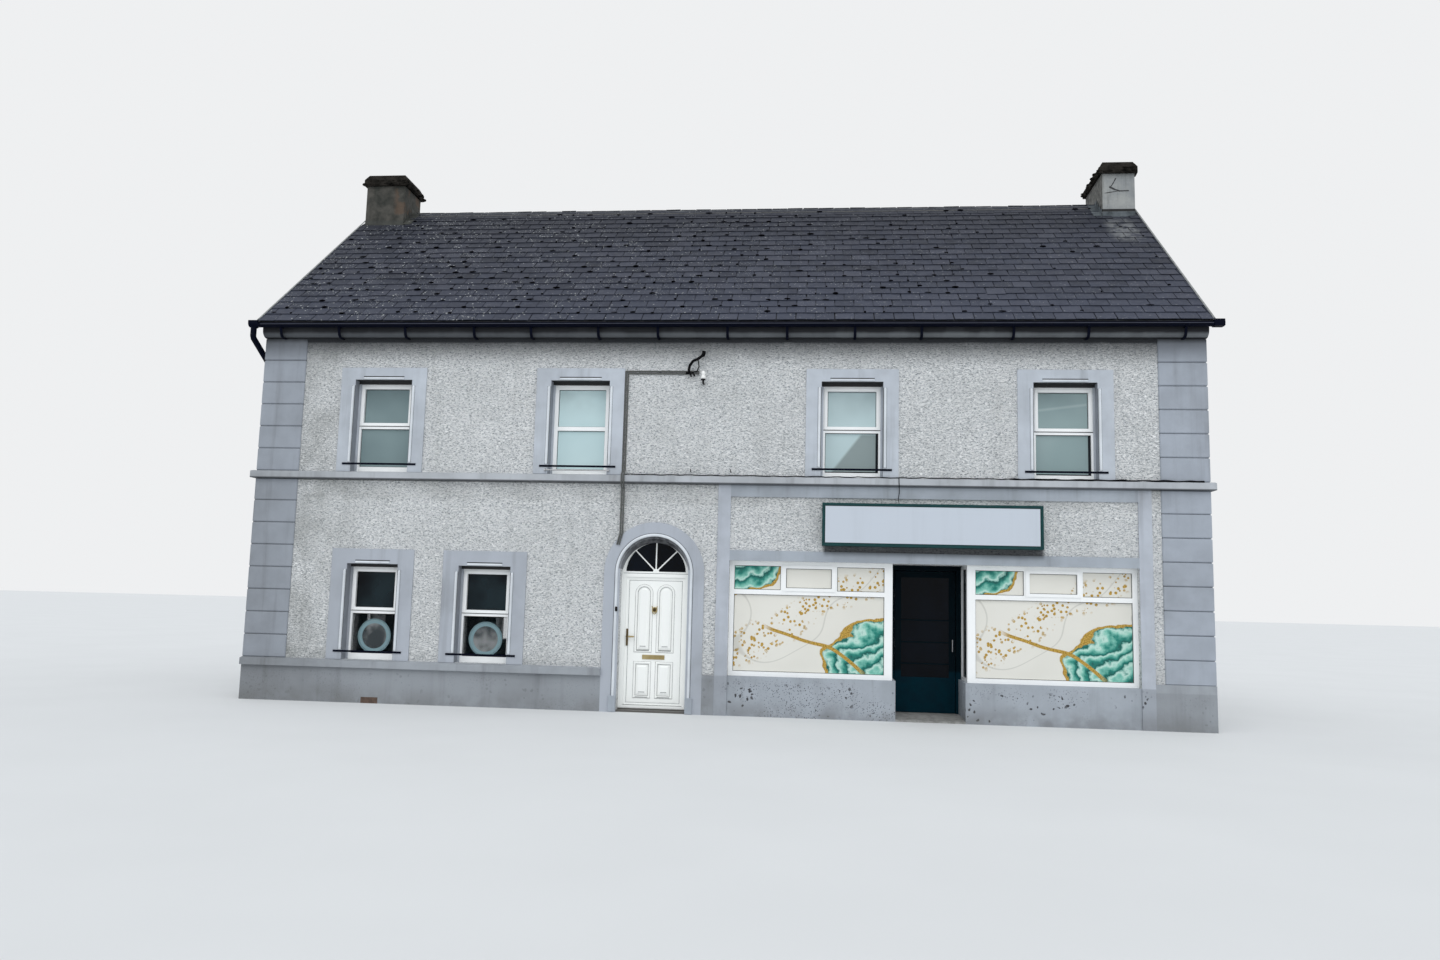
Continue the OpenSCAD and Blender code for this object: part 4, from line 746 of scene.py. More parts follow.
def daylight():
    """A pale sky that lights softly and looks the same in the picture and in glass, with a sun and a fill."""
    world = scene.world = bpy.data.worlds.new("pale_sky")
    world.use_nodes = True
    tree = world.node_tree
    tree.nodes.clear()
    kinds = ("OutputWorld", "Background", "Background", "MixShader", "LightPath", "Math", "Math")
    out, light, shown, pick, rays, either, seen = (tree.nodes.new("ShaderNode" + kind) for kind in kinds)
    either.operation = seen.operation = "MAXIMUM"
    light.inputs["Color"].default_value = (0.92, 0.96, 1.0, 1.0)
    light.inputs["Strength"].default_value = 0.8
    shown.inputs["Color"].default_value = (0.86, 0.87, 0.88, 1.0)
    for source, target in (
        (rays.outputs["Is Camera Ray"], either.inputs[0]),
        (rays.outputs["Is Glossy Ray"], either.inputs[1]),
        (either.outputs[0], seen.inputs[0]),
        (rays.outputs["Is Transmission Ray"], seen.inputs[1]),
        (seen.outputs[0], pick.inputs["Fac"]),
        (light.outputs[0], pick.inputs[1]),
        (shown.outputs[0], pick.inputs[2]),
        (pick.outputs[0], out.inputs["Surface"]),
    ):
        tree.links.new(source, target)
    for name, strength, spread, angles in (
        ("high_sun", 0.9, 0.9, (0.62, 0.12, -0.25)),
        ("side_fill", 0.25, 1.2, (1.15, 0.0, 0.7)),
    ):
        lamp = bpy.data.lights.new(name, "SUN")
        lamp.energy, lamp.angle = strength, spread
        holder = bpy.data.objects.new(name, lamp)
        holder.rotation_euler = angles
        scene.collection.objects.link(holder)


def floor():
    mesh = bpy.data.meshes.new("pale_floor")
    reach = 220.0
    corners = [(x * reach, y * reach, 0) for x, y in ((-1, -1), (1, -1), (1, 1), (-1, 1))]
    mesh.from_pydata(corners, [], [(0, 1, 2, 3)])
    ground = bpy.data.objects.new("pale_floor", mesh)
    scene.collection.objects.link(ground)
    f = Finish("pale_floor", Roughness=0.9, Specular_IOR_Level=0.1)
    f.set(Base_Color=f.mix(f.noise(0.5, 2.0).rise(0.2, 0.8), (0.72, 0.73, 0.735), (0.74, 0.75, 0.755)))
    mesh.materials.append(f.material)


scene.view_settings.view_transform = "Standard"
photo_camera()
daylight()
floor()

# Finishes of the carried-over nodes

SHOP_PANE_X, SHOP_PANE_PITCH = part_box("shop_window_glass")[0].x, 3.42
windows_lo, windows_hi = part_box("window_mirrors")
mirror_r = (windows_hi.z - windows_lo.z) / 2
mirror_z = (windows_hi.z + windows_lo.z) / 2
mirror_centres = [(windows_lo.x + mirror_r, mirror_z), (windows_hi.x - mirror_r, mirror_z)]

RISER_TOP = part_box("stall_risers")[1].z
ROUGH = roughcast()
QUOIN = plaster("quoin_plaster", (0.36, 0.395, 0.45))
TRIMS = plaster("surround_plaster", (0.505, 0.545, 0.6), foot=((0.43, 0.462, 0.515), STRING_Z))
# The beads are of the surrounds' plaster; their paler colour is a painted highlight
BEAD = plaster("bead_highlight_plaster", (0.72, 0.76, 0.8), amount=0.5)
PILASTER = plaster("pilaster_plaster", (0.475, 0.51, 0.57), chips=1.0, damp=0.5, foot=((0.36, 0.39, 0.435), RISER_TOP))
# Dark plaster of the beds seen in the quoins' joints: painted shade
JOINT_SHADE = plaster("quoin_joint_shade_plaster", (0.1, 0.11, 0.125))
# Darker plaster of the window reveals: painted shade
REVEAL_SHADE = plaster("reveal_shade_plaster", (0.27, 0.29, 0.33))
LEDGE = plaster("ledge_plaster", (0.465, 0.49, 0.52), amount=1.3, edge=True)
# Darker lower part of the plinth, under its sill band: painted shade
PLINTH_FOOT = ((0.3, 0.322, 0.348), 0.522)
PLINTH = plaster("plinth_plaster", (0.335, 0.36, 0.39), amount=1.3, chips=0.25, damp=0.45, foot=PLINTH_FOOT)
RISER = plaster("riser_plaster", (0.375, 0.41, 0.455), amount=1.1, chips=1.0, damp=0.5)
BANDS = plaster("fascia_plaster", (0.38, 0.42, 0.47), amount=1.2)
SLATE = slate()
SLATE_BED = weathered("slate_bed", (0.03, 0.032, 0.04), (0.015, 0.016, 0.02))
RIDGE = weathered("ridge_clay", (0.11, 0.115, 0.125), (0.055, 0.06, 0.068), 5.0, 0.006)
CAP = weathered("chimney_cap_mortar", (0.034, 0.03, 0.026), (0.006, 0.006, 0.005), 7.0, 0.03, 0.95, 0.05)
LEAD = old_lead()
CONCRETE = weathered("step_concrete", (0.3, 0.3, 0.29), (0.2, 0.2, 0.19), 7.0, 0.004)
SOFFIT = weathered("recess_paint", (0.1, 0.11, 0.12), (0.06, 0.065, 0.07), 3.0, 0.002, 0.6)
WHITE = moulded_plastic("white_plastic", (0.97, 0.985, 0.985), amount=0.25)
DOOR_WHITE = moulded_plastic("door_plastic", (0.975, 0.99, 0.965), 0.28, amount=0.15)
BLACK = painted_metal("black_rainwater", (0.001, 0.002, 0.008), 0.5, specular=0.06)
# Paler strip along the gutters' front lip: a painted highlight
LIP = painted_metal("gutter_lip_highlight", (0.05, 0.054, 0.072), 0.6, specular=0.1)
IRON = painted_metal("black_iron", (0.006, 0.006, 0.008), 0.5, rust=0.35, specular=0.2)
GREEN = shop_green()
SIGN_EDGE = painted_metal("sign_edge_paint", (0.01, 0.045, 0.046), 0.5, specular=0.15)
BRASS = old_brass()
TARNISH = painted_metal("tarnished_brass", (0.07, 0.05, 0.025), 0.4, metallic=1.0)
STEEL = painted_metal("brushed_steel", (0.42, 0.42, 0.43), 0.32, metallic=1.0)
GREY = moulded_plastic("grey_cable", (0.085, 0.09, 0.085), 0.5, (0.03, 0.03, 0.03), 0.9)
CLAY = weathered("vent_clay", (0.13, 0.085, 0.065), (0.06, 0.04, 0.03), 9.0, 0.004)
MOSS = weathered("dry_moss", (0.003, 0.003, 0.004), (0.0, 0.0, 0.001), 30.0, 0.006, 0.95, 0.02)
MORTAR = weathered("bedding_mortar", (0.13, 0.13, 0.125), (0.06, 0.06, 0.06), 12.0, 0.006)
PALE_MORTAR = weathered("verge_mortar", (0.34, 0.35, 0.35), (0.18, 0.185, 0.18), 12.0, 0.006)
CABLE = painted_metal("black_cable", (0.003, 0.003, 0.004), 0.6, specular=0.08)
PORCELAIN = moulded_plastic("porcelain", (0.93, 0.93, 0.91), 0.15, amount=0.1)
# Grey strips in the grooves of the door's mouldings: painted shade, with some dirt
GROOVE_SHADE_AND_GRIME = weathered("door_groove_shade_and_grime", (0.34, 0.35, 0.345), (0.16, 0.165, 0.16), 20.0, 0.001)
# Grey of painted shade: in the gaps round the door leaf and transom, and the shadows under the panels
SEAM_SHADE = weathered("door_seam_shade", (0.22, 0.235, 0.24), (0.15, 0.16, 0.165), 20.0, 0.001)
COVE = arch_cove()
# Black of the glazing gaskets, also used for painted shade strips at the window heads and quirks
BLACK_RUBBER_AND_SHADE = painted_metal("black_rubber_and_shade", (0.02, 0.021, 0.022), 0.6)
FILM = printed_film()
NIGHT = dark_glass()

FINISHES = {
    ROUGH: "front_wall_left door_arch_wall front_wall_pier shop_lintel_wall front_wall_right front_wall_upper "
    "back_wall left_gable_wall right_gable_wall",
    QUOIN: "corner_quoins",
    TRIMS: "window_surrounds door_surround",
    PILASTER: "shop_pilasters",
    BANDS: "shop_fascia_bands",
    LEDGE: "string_course_front string_course_sides string_course_back",
    PLINTH: "front_plinth side_plinths back_plinth",
    RISER: "stall_risers",
    cornice(): "eaves_courses",
    CONCRETE: "ground_floor",
    door_sills(): "door_thresholds",
    timber(): "first_floor",
    SOFFIT: "recess_soffit",
    SLATE_BED: "roof_slope_front roof_slope_back",
    RIDGE: "ridge_tiles",
    chimney_render(): "chimney_stacks",
    CAP: "chimney_caps",
    LEAD: "chimney_flashings",
    WHITE: "window_frames window_boards shop_window_frames shop_doorway_cheeks",
    DOOR_WHITE: "house_door_frame house_door",
    BLACK: "gutters downpipes window_guard_bars gutter_brackets",
    window_glass(): "window_glass",
    cloth_blind(): "window_blinds",
    mirror_glass(): "window_mirrors",
    FILM: "shop_window_glass",
    NIGHT: "fanlight_glass shop_door_glass doorway_side_glass",
    SIGN_EDGE: "sign_box",
    GREEN: "shop_door_frame shop_door",
    BRASS: "house_door_furniture",
    STEEL: "shop_door_handle door_hinges house_door_flaps shop_door_flaps",
    GREY: "wall_conduit",
    CLAY: "air_vent",
}
for material, names in FINISHES.items():
    for name in names.split():
        nodes[name].data.materials.clear()
        nodes[name].data.materials.append(material)

# Slates


def laying_tree(name, lump=False):
    """Geometry Nodes: a slate, or a lump of moss, on every point of the mesh, each a little different."""
    tree = bpy.data.node_groups.new(name, "GeometryNodeTree")
    given = {"Geometry": "Geometry", **dict.fromkeys(("Width", "Length", "Thickness", "Pitch", "Turn"), "Float")}
    for label, kind in {**given, "Finish": "Material"}.items():
        tree.interface.new_socket(label, in_out="INPUT", socket_type="NodeSocket" + kind)
    tree.interface.new_socket("Geometry", in_out="OUTPUT", socket_type="NodeSocketGeometry")

    def add(kind, sockets, output=0, **settings):
        """One output of a new node; its sockets go by name, or by number among those that its settings show."""
        made = tree.nodes.new(kind)
        for key, value in settings.items():
            setattr(made, key, value)
        shown = [socket for socket in made.inputs if socket.enabled]
        for key, value in sockets.items():
            target = shown[key] if isinstance(key, int) else next(s for s in shown if s.name == key)
            if isinstance(value, bpy.types.NodeSocket):
                tree.links.new(value, target)
            else:
                target.default_value = value
        return made.outputs[output] if made.outputs else None

    given = tree.nodes.new("NodeGroupInput").outputs
    size = add("ShaderNodeCombineXYZ", {"X": given["Width"], "Y": given["Length"], "Z": given["Thickness"]})
    if lump:
        body = add("GeometryNodeMeshIcoSphere", {"Radius": 0.5, "Subdivisions": 2})
    else:
        body = add("GeometryNodeMeshCube", {"Size": size})
    span = {0: (-LEAN, -LEAN, -LEAN), 1: (LEAN, LEAN, LEAN), "Seed": 11}
    lean = add("FunctionNodeRandomValue", span, data_type="FLOAT_VECTOR")
    pitch = add("ShaderNodeCombineXYZ", {"X": given["Pitch"], "Z": given["Turn"]})
    turn = add("ShaderNodeVectorMath", {0: pitch, 1: lean}, operation="ADD")
    turn = add("FunctionNodeEulerToRotation", {"Euler": turn})
    laid = {"Points": given["Geometry"], "Instance": body, "Rotation": turn}
    if lump:
        span = {0: (0.25, 0.4, 0.4), 1: (1.7, 1.4, 1.3), "Seed": 3}
        spread = add("FunctionNodeRandomValue", span, data_type="FLOAT_VECTOR")
        laid["Scale"] = add("ShaderNodeVectorMath", {0: size, 1: spread}, operation="MULTIPLY")
    laid = add("GeometryNodeInstanceOnPoints", laid)
    shade = add("FunctionNodeRandomValue", {"Seed": 5}, 1, data_type="FLOAT")
    shaded_ones = {"Geometry": laid, "Name": "shade", "Value": shade}
    laid = add("GeometryNodeStoreNamedAttribute", shaded_ones, data_type="FLOAT", domain="INSTANCE")
    laid = add("GeometryNodeRealizeInstances", {0: laid})
    add("NodeGroupOutput", {0: add("GeometryNodeSetMaterial", {"Geometry": laid, "Material": given["Finish"]})})
    return tree


def grown(name, points, tree, inputs):
    """Plain mesh object of a node tree run on a mesh of points."""
    mesh = bpy.data.meshes.new(name + "_points")
    mesh.from_pydata(points, [], [])
    seedling = bpy.data.objects.new(name + "_points", mesh)
    scene.collection.objects.link(seedling)
    modifier = seedling.modifiers.new("grow", "NODES")
    modifier.node_group = tree
    sockets = {s.name: s.identifier for s in tree.interface.items_tree if s.in_out == "INPUT"}
    for label, value in inputs.items():
        modifier[sockets[label]] = value
    result = bpy.data.meshes.new_from_object(seedling.evaluated_get(bpy.context.evaluated_depsgraph_get()))
    result.name = name
    seedling.modifiers.clear()
    bpy.data.objects.remove(seedling)
    return bpy.data.objects.new(name, result)


slope_lo, slope_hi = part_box("roof_slope_front")
ridge_lo, ridge_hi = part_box("ridge_tiles")
stack_lo, stack_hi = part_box("chimney_stacks")
ridge_z, reach_y = slope_hi.z, -slope_lo.y
ROOF_T = 0.06
pitch_k = (ridge_z - slope_lo.z - ROOF_T) / reach_y
slope_angle = math.atan(pitch_k)
slope_l = math.hypot(reach_y, reach_y * pitch_k)
verge_x = (slope_lo.x, slope_hi.x)
SLATE_W, SLATE_L, SLATE_T, EXPOSED = 0.29, 0.4, 0.009, 0.236
LEAN = 0.012
laying = laying_tree("slate_laying")
moss_laying = laying_tree("moss_laying", lump=True)
# Spans of the two shafts: x from, x to, front y, back y
SHAFTS = ((stack_lo.x, ridge_lo.x, -0.49, 0.28), (ridge_hi.x, stack_hi.x, -0.46, 0.68))


def roof_point(x, y, lift=0.0):
    """Point over the roof's top face; y counts from the ridge, lift is square to the slope."""
    z = ridge_z - abs(y) * pitch_k
    side = -1.0 if y < 0 else 1.0
    return Vector((x, y + side * lift * math.sin(slope_angle), z + lift * math.cos(slope_angle)))


def by_shaft(x, y, margin):
    return any(a - margin < x < b + margin and c - margin < y < d + margin for a, b, c, d in SHAFTS)


def slates(side):
    """Slates of one slope in half bond, cut at the verges and left out under the chimneys."""
    rng = random.Random(7 if side < 0 else 8)
    rows = int((slope_l - 0.1) / EXPOSED) + 1
    lift = math.asin(SLATE_T * 1.5 / EXPOSED)
    columns = int((verge_x[1] - verge_x[0]) / SLATE_W) + 2
    points, lumps = [], []
    for row in range(rows):
        middle = min(row * EXPOSED + SLATE_L / 2 - 0.012, slope_l - SLATE_L / 2 + 0.03)
        for column in range(columns):
            x = verge_x[0] + (column - (0.5 if row % 2 else 0.0) + 0.5) * SLATE_W + rng.uniform(-0.004, 0.004)
            slip = rng.uniform(-0.006, 0.006) - (0.03 if rng.random() < 0.012 else 0.0)
            if x - SLATE_W / 2 > verge_x[1] - 0.03 or x + SLATE_W / 2 < verge_x[0] + 0.03:
                continue
            y = side * (reach_y - (middle + slip) * math.cos(slope_angle))
            if by_shaft(x, y, -0.05):
                continue
            points.append(roof_point(x, y, 0.011 + SLATE_T))
            tuft = rng.random()
            foot_y = side * (reach_y - (row * EXPOSED + rng.uniform(-0.01, 0.05)) * math.cos(slope_angle))
            at = x + SLATE_W / 2 + rng.uniform(-0.03, 0.03)
            share = 0.4 if x < 1.5 else 0.28 if x < 4.0 else 0.12
            if row and tuft < share and abs(at) < verge_x[1] - 0.05 and not by_shaft(at, foot_y, 0.05):
                lumps.append(roof_point(at, foot_y, 0.018 + 2 * SLATE_T))
    shared = {"Pitch": slope_angle - lift, "Turn": 0.0 if side < 0 else math.pi}
    where = "front" if side < 0 else "back"
    sized = {"Width": SLATE_W - 0.012, "Length": SLATE_L, "Thickness": SLATE_T, "Finish": SLATE}
    piece = grown("slates_" + where, points, laying, {**shared, **sized})
    for v in piece.data.vertices:
        v.co.x = min(max(v.co.x, verge_x[0] + 0.004), verge_x[1] - 0.004)
    place(piece, None, "slate")
    sized = {"Width": 0.08, "Length": 0.05, "Thickness": 0.027, "Finish": MOSS}
    place(grown("moss_" + where, lumps, moss_laying, {**shared, **sized}), None, "slate")


slates(-1)
slates(1)

VERGE_STEPS, RIDGE_STEPS = 12, 60
verge, bedding = Piece(), Piece()
wing, span = (ridge_hi.y - ridge_lo.y) / 2, ridge_hi.x - ridge_lo.x
for side in (-1, 1):
    for x, turn in ((verge_x[0], -1), (verge_x[1], 1)):
        ys = [side * reach_y * (0.001 + 0.998 * k / VERGE_STEPS) for k in range(VERGE_STEPS + 1)]
        path = [roof_point(x - turn * 0.006, y, 0.026) for y in ys]
        verge.sweep(half_round(0.034, 0.018, 5), path, across=(turn * 0.5, 0.0, 1.0))
    xs = [ridge_lo.x + 0.02 + (span - 0.04) * k / RIDGE_STEPS for k in range(RIDGE_STEPS + 1)]
    bedding.tube([roof_point(x, side * (wing + 0.004 * math.sin(k * 2.3)), 0.02) for k, x in enumerate(xs)], 0.016, 6)
verge.finish("verge_mortar", PALE_MORTAR, "old_render")
bedding.finish("ridge_bedding", MORTAR, "old_render")

# Chimneys

STEP_LEAD = 0.13
steps = Piece()
for x, turn, (front, back) in ((ridge_lo.x, 1, SHAFTS[0][2:]), (ridge_hi.x, -1, SHAFTS[1][2:])):
    for near, far in ((front, -0.02), (back, 0.02)):
        count = max(2, round(abs(near) / STEP_LEAD))
        for k in range(count):
            y0, y1 = near + (far - near) * k / count, near + (far - near) * (k + 1) / count
            low = ridge_z - max(abs(y0), abs(y1)) * pitch_k + 0.01
            top = ridge_z - min(abs(y0), abs(y1)) * pitch_k + 0.085
            lap = 0.004 + 0.002 * (k % 2)
            steps.box((x, y0, low), (x + turn * lap, y1, top), 0.001)
        foot = [roof_point(x + turn * 0.075, y, 0.03) for y in (near, far)]
        steps.sweep(((-0.072, 0.0), (0.072, 0.0), (0.072, 0.004), (-0.072, 0.004)), foot)
steps.finish("chimney_step_lead", LEAD, "lead_sheet")

# Lumps of old mortar and moss along the edges of the caps
CRUMBS = 110
rng = random.Random(21)
crumbs = []
for lo, hi in islands("chimney_caps"):
    for _ in range(CRUMBS):
        x, y = rng.uniform(lo.x, hi.x), rng.uniform(lo.y, hi.y)
        x, y = rng.choice(((x, lo.y + 0.025), (x, hi.y - 0.025), (lo.x + 0.025, y), (hi.x - 0.025, y)))
        crumbs.append((x, y, rng.choice((lo.z + 0.03, lo.z + 0.05, lo.z + 0.1))))
sized = {"Width": 0.1, "Length": 0.1, "Thickness": 0.055, "Pitch": 0.0, "Turn": 0.0, "Finish": CAP}
place(grown("cap_crumbs", crumbs, moss_laying, sized), None, "old_render")

# Quoins, beads and plaster details

corner_lo, corner_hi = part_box("corner_quoins")
string_lo, string_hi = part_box("string_course_front")
PLASTER_Y = FRONT - TRIM
QUOIN_W, JOINT, PROUD, CHAMFER = 0.69, 0.008, 0.016, 0.013
# Joint beds set back behind the blocks, painted dark for the shade in the joints
quoins, joint_beds = Piece(), Piece()


def corner_box(piece, signs, behind, z0, z1, bevel):
    """Box from a corner of the house inwards, its outer faces that far behind the quoins' own."""
    near, far = ([s * (hi - depth) for s, hi in zip(signs, corner_hi)] for depth in (behind, QUOIN_W))
    piece.box((*near, z0), (*far, z1), bevel)


for z0, z1, rows in ((corner_lo.z, string_lo.z, 8), (string_hi.z, corner_hi.z, 6)):
    corners = list(itertools.product((-1, 1), repeat=2))
    for signs in corners:
        corner_box(joint_beds, signs, PROUD, z0, z1, 0.002)
    for row in range(rows):
        low = z0 + (z1 - z0) * row / rows + (JOINT / 2 if row else 0.0)
        high = z0 + (z1 - z0) * (row + 1) / rows - (JOINT / 2 if row < rows - 1 else 0.0)
        for signs in corners:
            corner_box(quoins, signs, 0.0, low, high, CHAMFER)
joint_beds.finish("quoin_joint_beds", JOINT_SHADE, "smooth_plaster")
quoins.finish("quoin_blocks", QUOIN, "smooth_plaster", replaces=("corner_quoins",))


def wall_box(piece, side, x, out, z, bevel=0.0):
    """Box on the front wall (side -1) or the back wall (side 1), out measured outward from its face."""
    piece.box(*zip(x, [side * (BACK + o) for o in out], z), bevel)


FRAME_OUT = -0.149
FILLET_W, SHADE_STRIP_H, LINING = 0.032, 0.045, 0.003
SASH_FOOT, MID_UP = 0.018, 0.5
BEAD_W, BEAD_OUT, BEAD_FOOT_UP, BEAD_HEAD_DOWN = 0.042, 0.024, 0.14, 0.09
HEAD_BEAD_W, HEAD_BEAD_IN = 0.036, 0.13
# Quirks: thin dark strips beside the beads, the painted shade of grooves
QUIRK = (TRIM - 0.001, TRIM + 0.001)
beads, quirk_shadows, fillets, linings, shade_strips = (Piece() for _ in range(5))
windows = islands("window_frames")
SECOND_X = 4.65
for lo, hi in windows:
    side = -1 if hi.y < -FACE_Y else 1 if lo.y > FACE_Y else 0
    if not side:
        continue
    y, out = side * (BACK + TRIM), (0.0, float(side), 0.0)
    for edge, turn in ((lo.x, 1), (hi.x, -1)):
        x = edge - turn * (BEAD_W / 2 + 0.006)
        stopped_bead(beads, (x, y, lo.z + BEAD_FOOT_UP), (x, y, hi.z - BEAD_HEAD_DOWN), out, BEAD_W)
        # Painted shade strips for the quirks beside the bead
        for quirk in ((0.0, 0.006), (BEAD_W + 0.005, BEAD_W + 0.009)):
            ends = [edge - turn * q for q in quirk]
            wall_box(quirk_shadows, side, ends, QUIRK, (lo.z + BEAD_FOOT_UP + 0.01, hi.z - BEAD_HEAD_DOWN))
        fillet = (edge, edge + turn * FILLET_W)
        wall_box(fillets, side, fillet, (FRAME_OUT, FRAME_OUT + 0.025), (lo.z, hi.z - SHADE_STRIP_H), 0.003)
        # Darker linings on the reveal sides: painted shade
        wall_box(linings, side, (edge, edge + turn * LINING), (FRAME_OUT + 0.025, TRIM - 0.001), (lo.z, hi.z))
    z = hi.z + HEAD_BEAD_W / 2 + 0.003
    ends = (lo.x + HEAD_BEAD_IN, hi.x - HEAD_BEAD_IN)
    stopped_bead(beads, (ends[0], y, z), (ends[1], y, z), out, HEAD_BEAD_W)
    # Painted shade strip for the quirk over the head bead
    wall_box(quirk_shadows, side, ends, QUIRK, (hi.z + 0.042, hi.z + 0.056))
    # Painted shade: a dark strip at the window head and a dark lining on the reveal's head
    wall_box(shade_strips, side, (lo.x, hi.x), (FRAME_OUT, FRAME_OUT + 0.03), (hi.z - SHADE_STRIP_H, hi.z), 0.002)
    wall_box(shade_strips, side, (lo.x, hi.x), (FRAME_OUT + 0.031, TRIM - 0.001), (hi.z - LINING, hi.z))
    # A painted shadow line in the rebate over the lower sash, left out at the second upper window, which has no open
    # rebate over its lower sash
    if abs(lo.x - along(SECOND_X)) > 0.2 or side > 0:
        rail = lo.z + MID_UP * (hi.z - lo.z) + SASH_FOOT
        rebate = (lo.x + FILLET_W, hi.x - FILLET_W)
        wall_box(shade_strips, side, rebate, (FRAME_OUT - 0.0005, FRAME_OUT + 0.0005), (rail - 0.011, rail))
fillets.finish("reveal_fillets", TRIMS, "smooth_plaster")
linings.finish("reveal_shade_linings", REVEAL_SHADE, "smooth_plaster")
# The painted shade strips
shade_strips.finish("window_head_shade_strips", BLACK_RUBBER_AND_SHADE, "black_rainwater")

# The house doorway: its bead, cove and blocks, and the mouldings and furniture of its leaf
leaf_lo, leaf_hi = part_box("house_door")
frame_lo, frame_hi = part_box("house_door_frame")
DOOR_X = (frame_lo.x + frame_hi.x) / 2
SPRINGING, BEAD_R, BLOCK_TOP = 2.045, 0.559, 0.235
DOORWAY_R, COVE_DEEP, ARCH_STEPS = 0.512, 0.062, 32


def arched(r, y, k):
    """Point k of the doorway's arch at a radius and depth."""
    a = math.pi * k / ARCH_STEPS
    return (DOOR_X - r * math.cos(a), y, SPRINGING + r * math.sin(a))


# The arch's bead, and a painted shade strip for its quirk
for piece, r, outline in (
    (beads, BEAD_R, half_round(0.044, 0.028)),
    (quirk_shadows, BEAD_R + 0.027, ((-0.003, 0.0), (0.003, 0.0), (0.003, 0.001), (-0.003, 0.001))),
):
    arch = [arched(r, PLASTER_Y, k) for k in range(ARCH_STEPS + 1)]
    foot = [(DOOR_X + turn * r, PLASTER_Y, BLOCK_TOP) for turn in (-1, 1)]
    piece.sweep(outline, [foot[0], *arch, foot[1]], across=(0.0, -1.0, 0.0))
# The arch's cove, its plaster painted with shade
cove = Piece()
rings = []
front, cove_r = PLASTER_Y - 0.0015, BEAD_R - 0.018
for k in range(1, ARCH_STEPS):
    inner = DOORWAY_R - COVE_DEEP * math.sin(math.pi * k / ARCH_STEPS) ** 0.8
    outline = ((cove_r, front), (DOORWAY_R, front), ((inner + DOORWAY_R) / 2, front + 0.06), (inner, front + 0.13))
    outline += ((inner, leaf_lo.y - 0.022), (cove_r, leaf_lo.y - 0.022))
    rings.append([arched(r, y, k) for r, y in outline])
cove.skin(rings)
cove.finish("arch_cove", COVE, "smooth_plaster")
# Beads in the paler plaster of the painted highlight
beads.finish("plaster_beads", BEAD, "smooth_plaster")
# Painted shade strips of the quirks
quirk_shadows.finish("bead_quirk_shadows", BLACK_RUBBER_AND_SHADE, "smooth_plaster")
blocks = Piece()
for turn in (-1, 1):
    x = DOOR_X + turn * (BEAD_R + 0.008)
    blocks.box((x - 0.055, PLASTER_Y - 0.03, 0.0), (x + 0.055, FRONT, BLOCK_TOP), 0.008)
blocks.finish("door_base_blocks", BANDS, "smooth_plaster")

LEAF_MID = (leaf_lo.x + leaf_hi.x) / 2
PANEL_SIDE, PANEL_R, PANEL_STEPS = 0.165, 0.11, 14
LEAF_SPLIT = leaf_lo.z + 0.7


def panel_loop(x, z0, z1, arched_top, inset, y):
    """Points round a door panel; an arched one has its arch's centre at z1."""
    r = PANEL_R - inset
    loop = [(x - r, y, z0 + inset), (x + r, y, z0 + inset)]
    if arched_top:
        turns = [math.pi * k / PANEL_STEPS for k in range(PANEL_STEPS + 1)]
        loop += [(x + r * math.cos(t), y, z1 + r * math.sin(t)) for t in turns]
    else:
        loop += [(x + r, y, z1 - inset), (x - r, y, z1 - inset)]
    return loop


OGEE = ((-0.016, 0.0), (-0.014, 0.007), (-0.006, 0.009), (0.002, 0.012), (0.01, 0.009), (0.014, 0.003), (0.016, 0.0))
STRIP = ((-0.002, 0.0), (0.002, 0.0), (0.002, 0.0008), (-0.002, 0.0008))
FIELD = ((0.034, -0.002), (0.037, 0.003), (0.056, 0.011), (0.06, 0.0105))
y = leaf_lo.y
mouldings, joints, lines = Piece(), Piece(), Piece()
for side, (z0, z1, arched_top) in itertools.product(
    (-1, 1),
    ((LEAF_SPLIT + 0.09, leaf_hi.z - 0.245, True), (leaf_lo.z + 0.12, LEAF_SPLIT - 0.09, False)),
):
    x = LEAF_MID + side * PANEL_SIDE
    mouldings.sweep(OGEE, panel_loop(x, z0, z1, arched_top, -0.004, y), across=(0, -1, 0), loop=True)
    mouldings.skin([panel_loop(x, z0, z1, arched_top, inset, y - out) for inset, out in FIELD])
    # Grey strips round each moulding: painted shade in its grooves, with some dirt
    for inset in (-0.0225, 0.0145):
        joints.sweep(STRIP, panel_loop(x, z0, z1, arched_top, inset, y), across=(0, -1, 0), loop=True)
    # Painted drop shadows under each panel and a short one inside it
    low_edge = z0 if arched_top else z0 - 0.01
    lines.box((x - 0.095, y - 0.0125, low_edge), (x + 0.095, y + 0.001, low_edge + 0.01), 0.001)
    lines.box((x - 0.045, y - 0.014, z0 + 0.064), (x + 0.045, y - 0.009, z0 + 0.072), 0.001)
mouldings.finish("door_panel_mouldings", DOOR_WHITE, "white_frame", body="house_door")
joints.finish("door_panel_joints", GROOVE_SHADE_AND_GRIME, "white_frame", body="house_door")
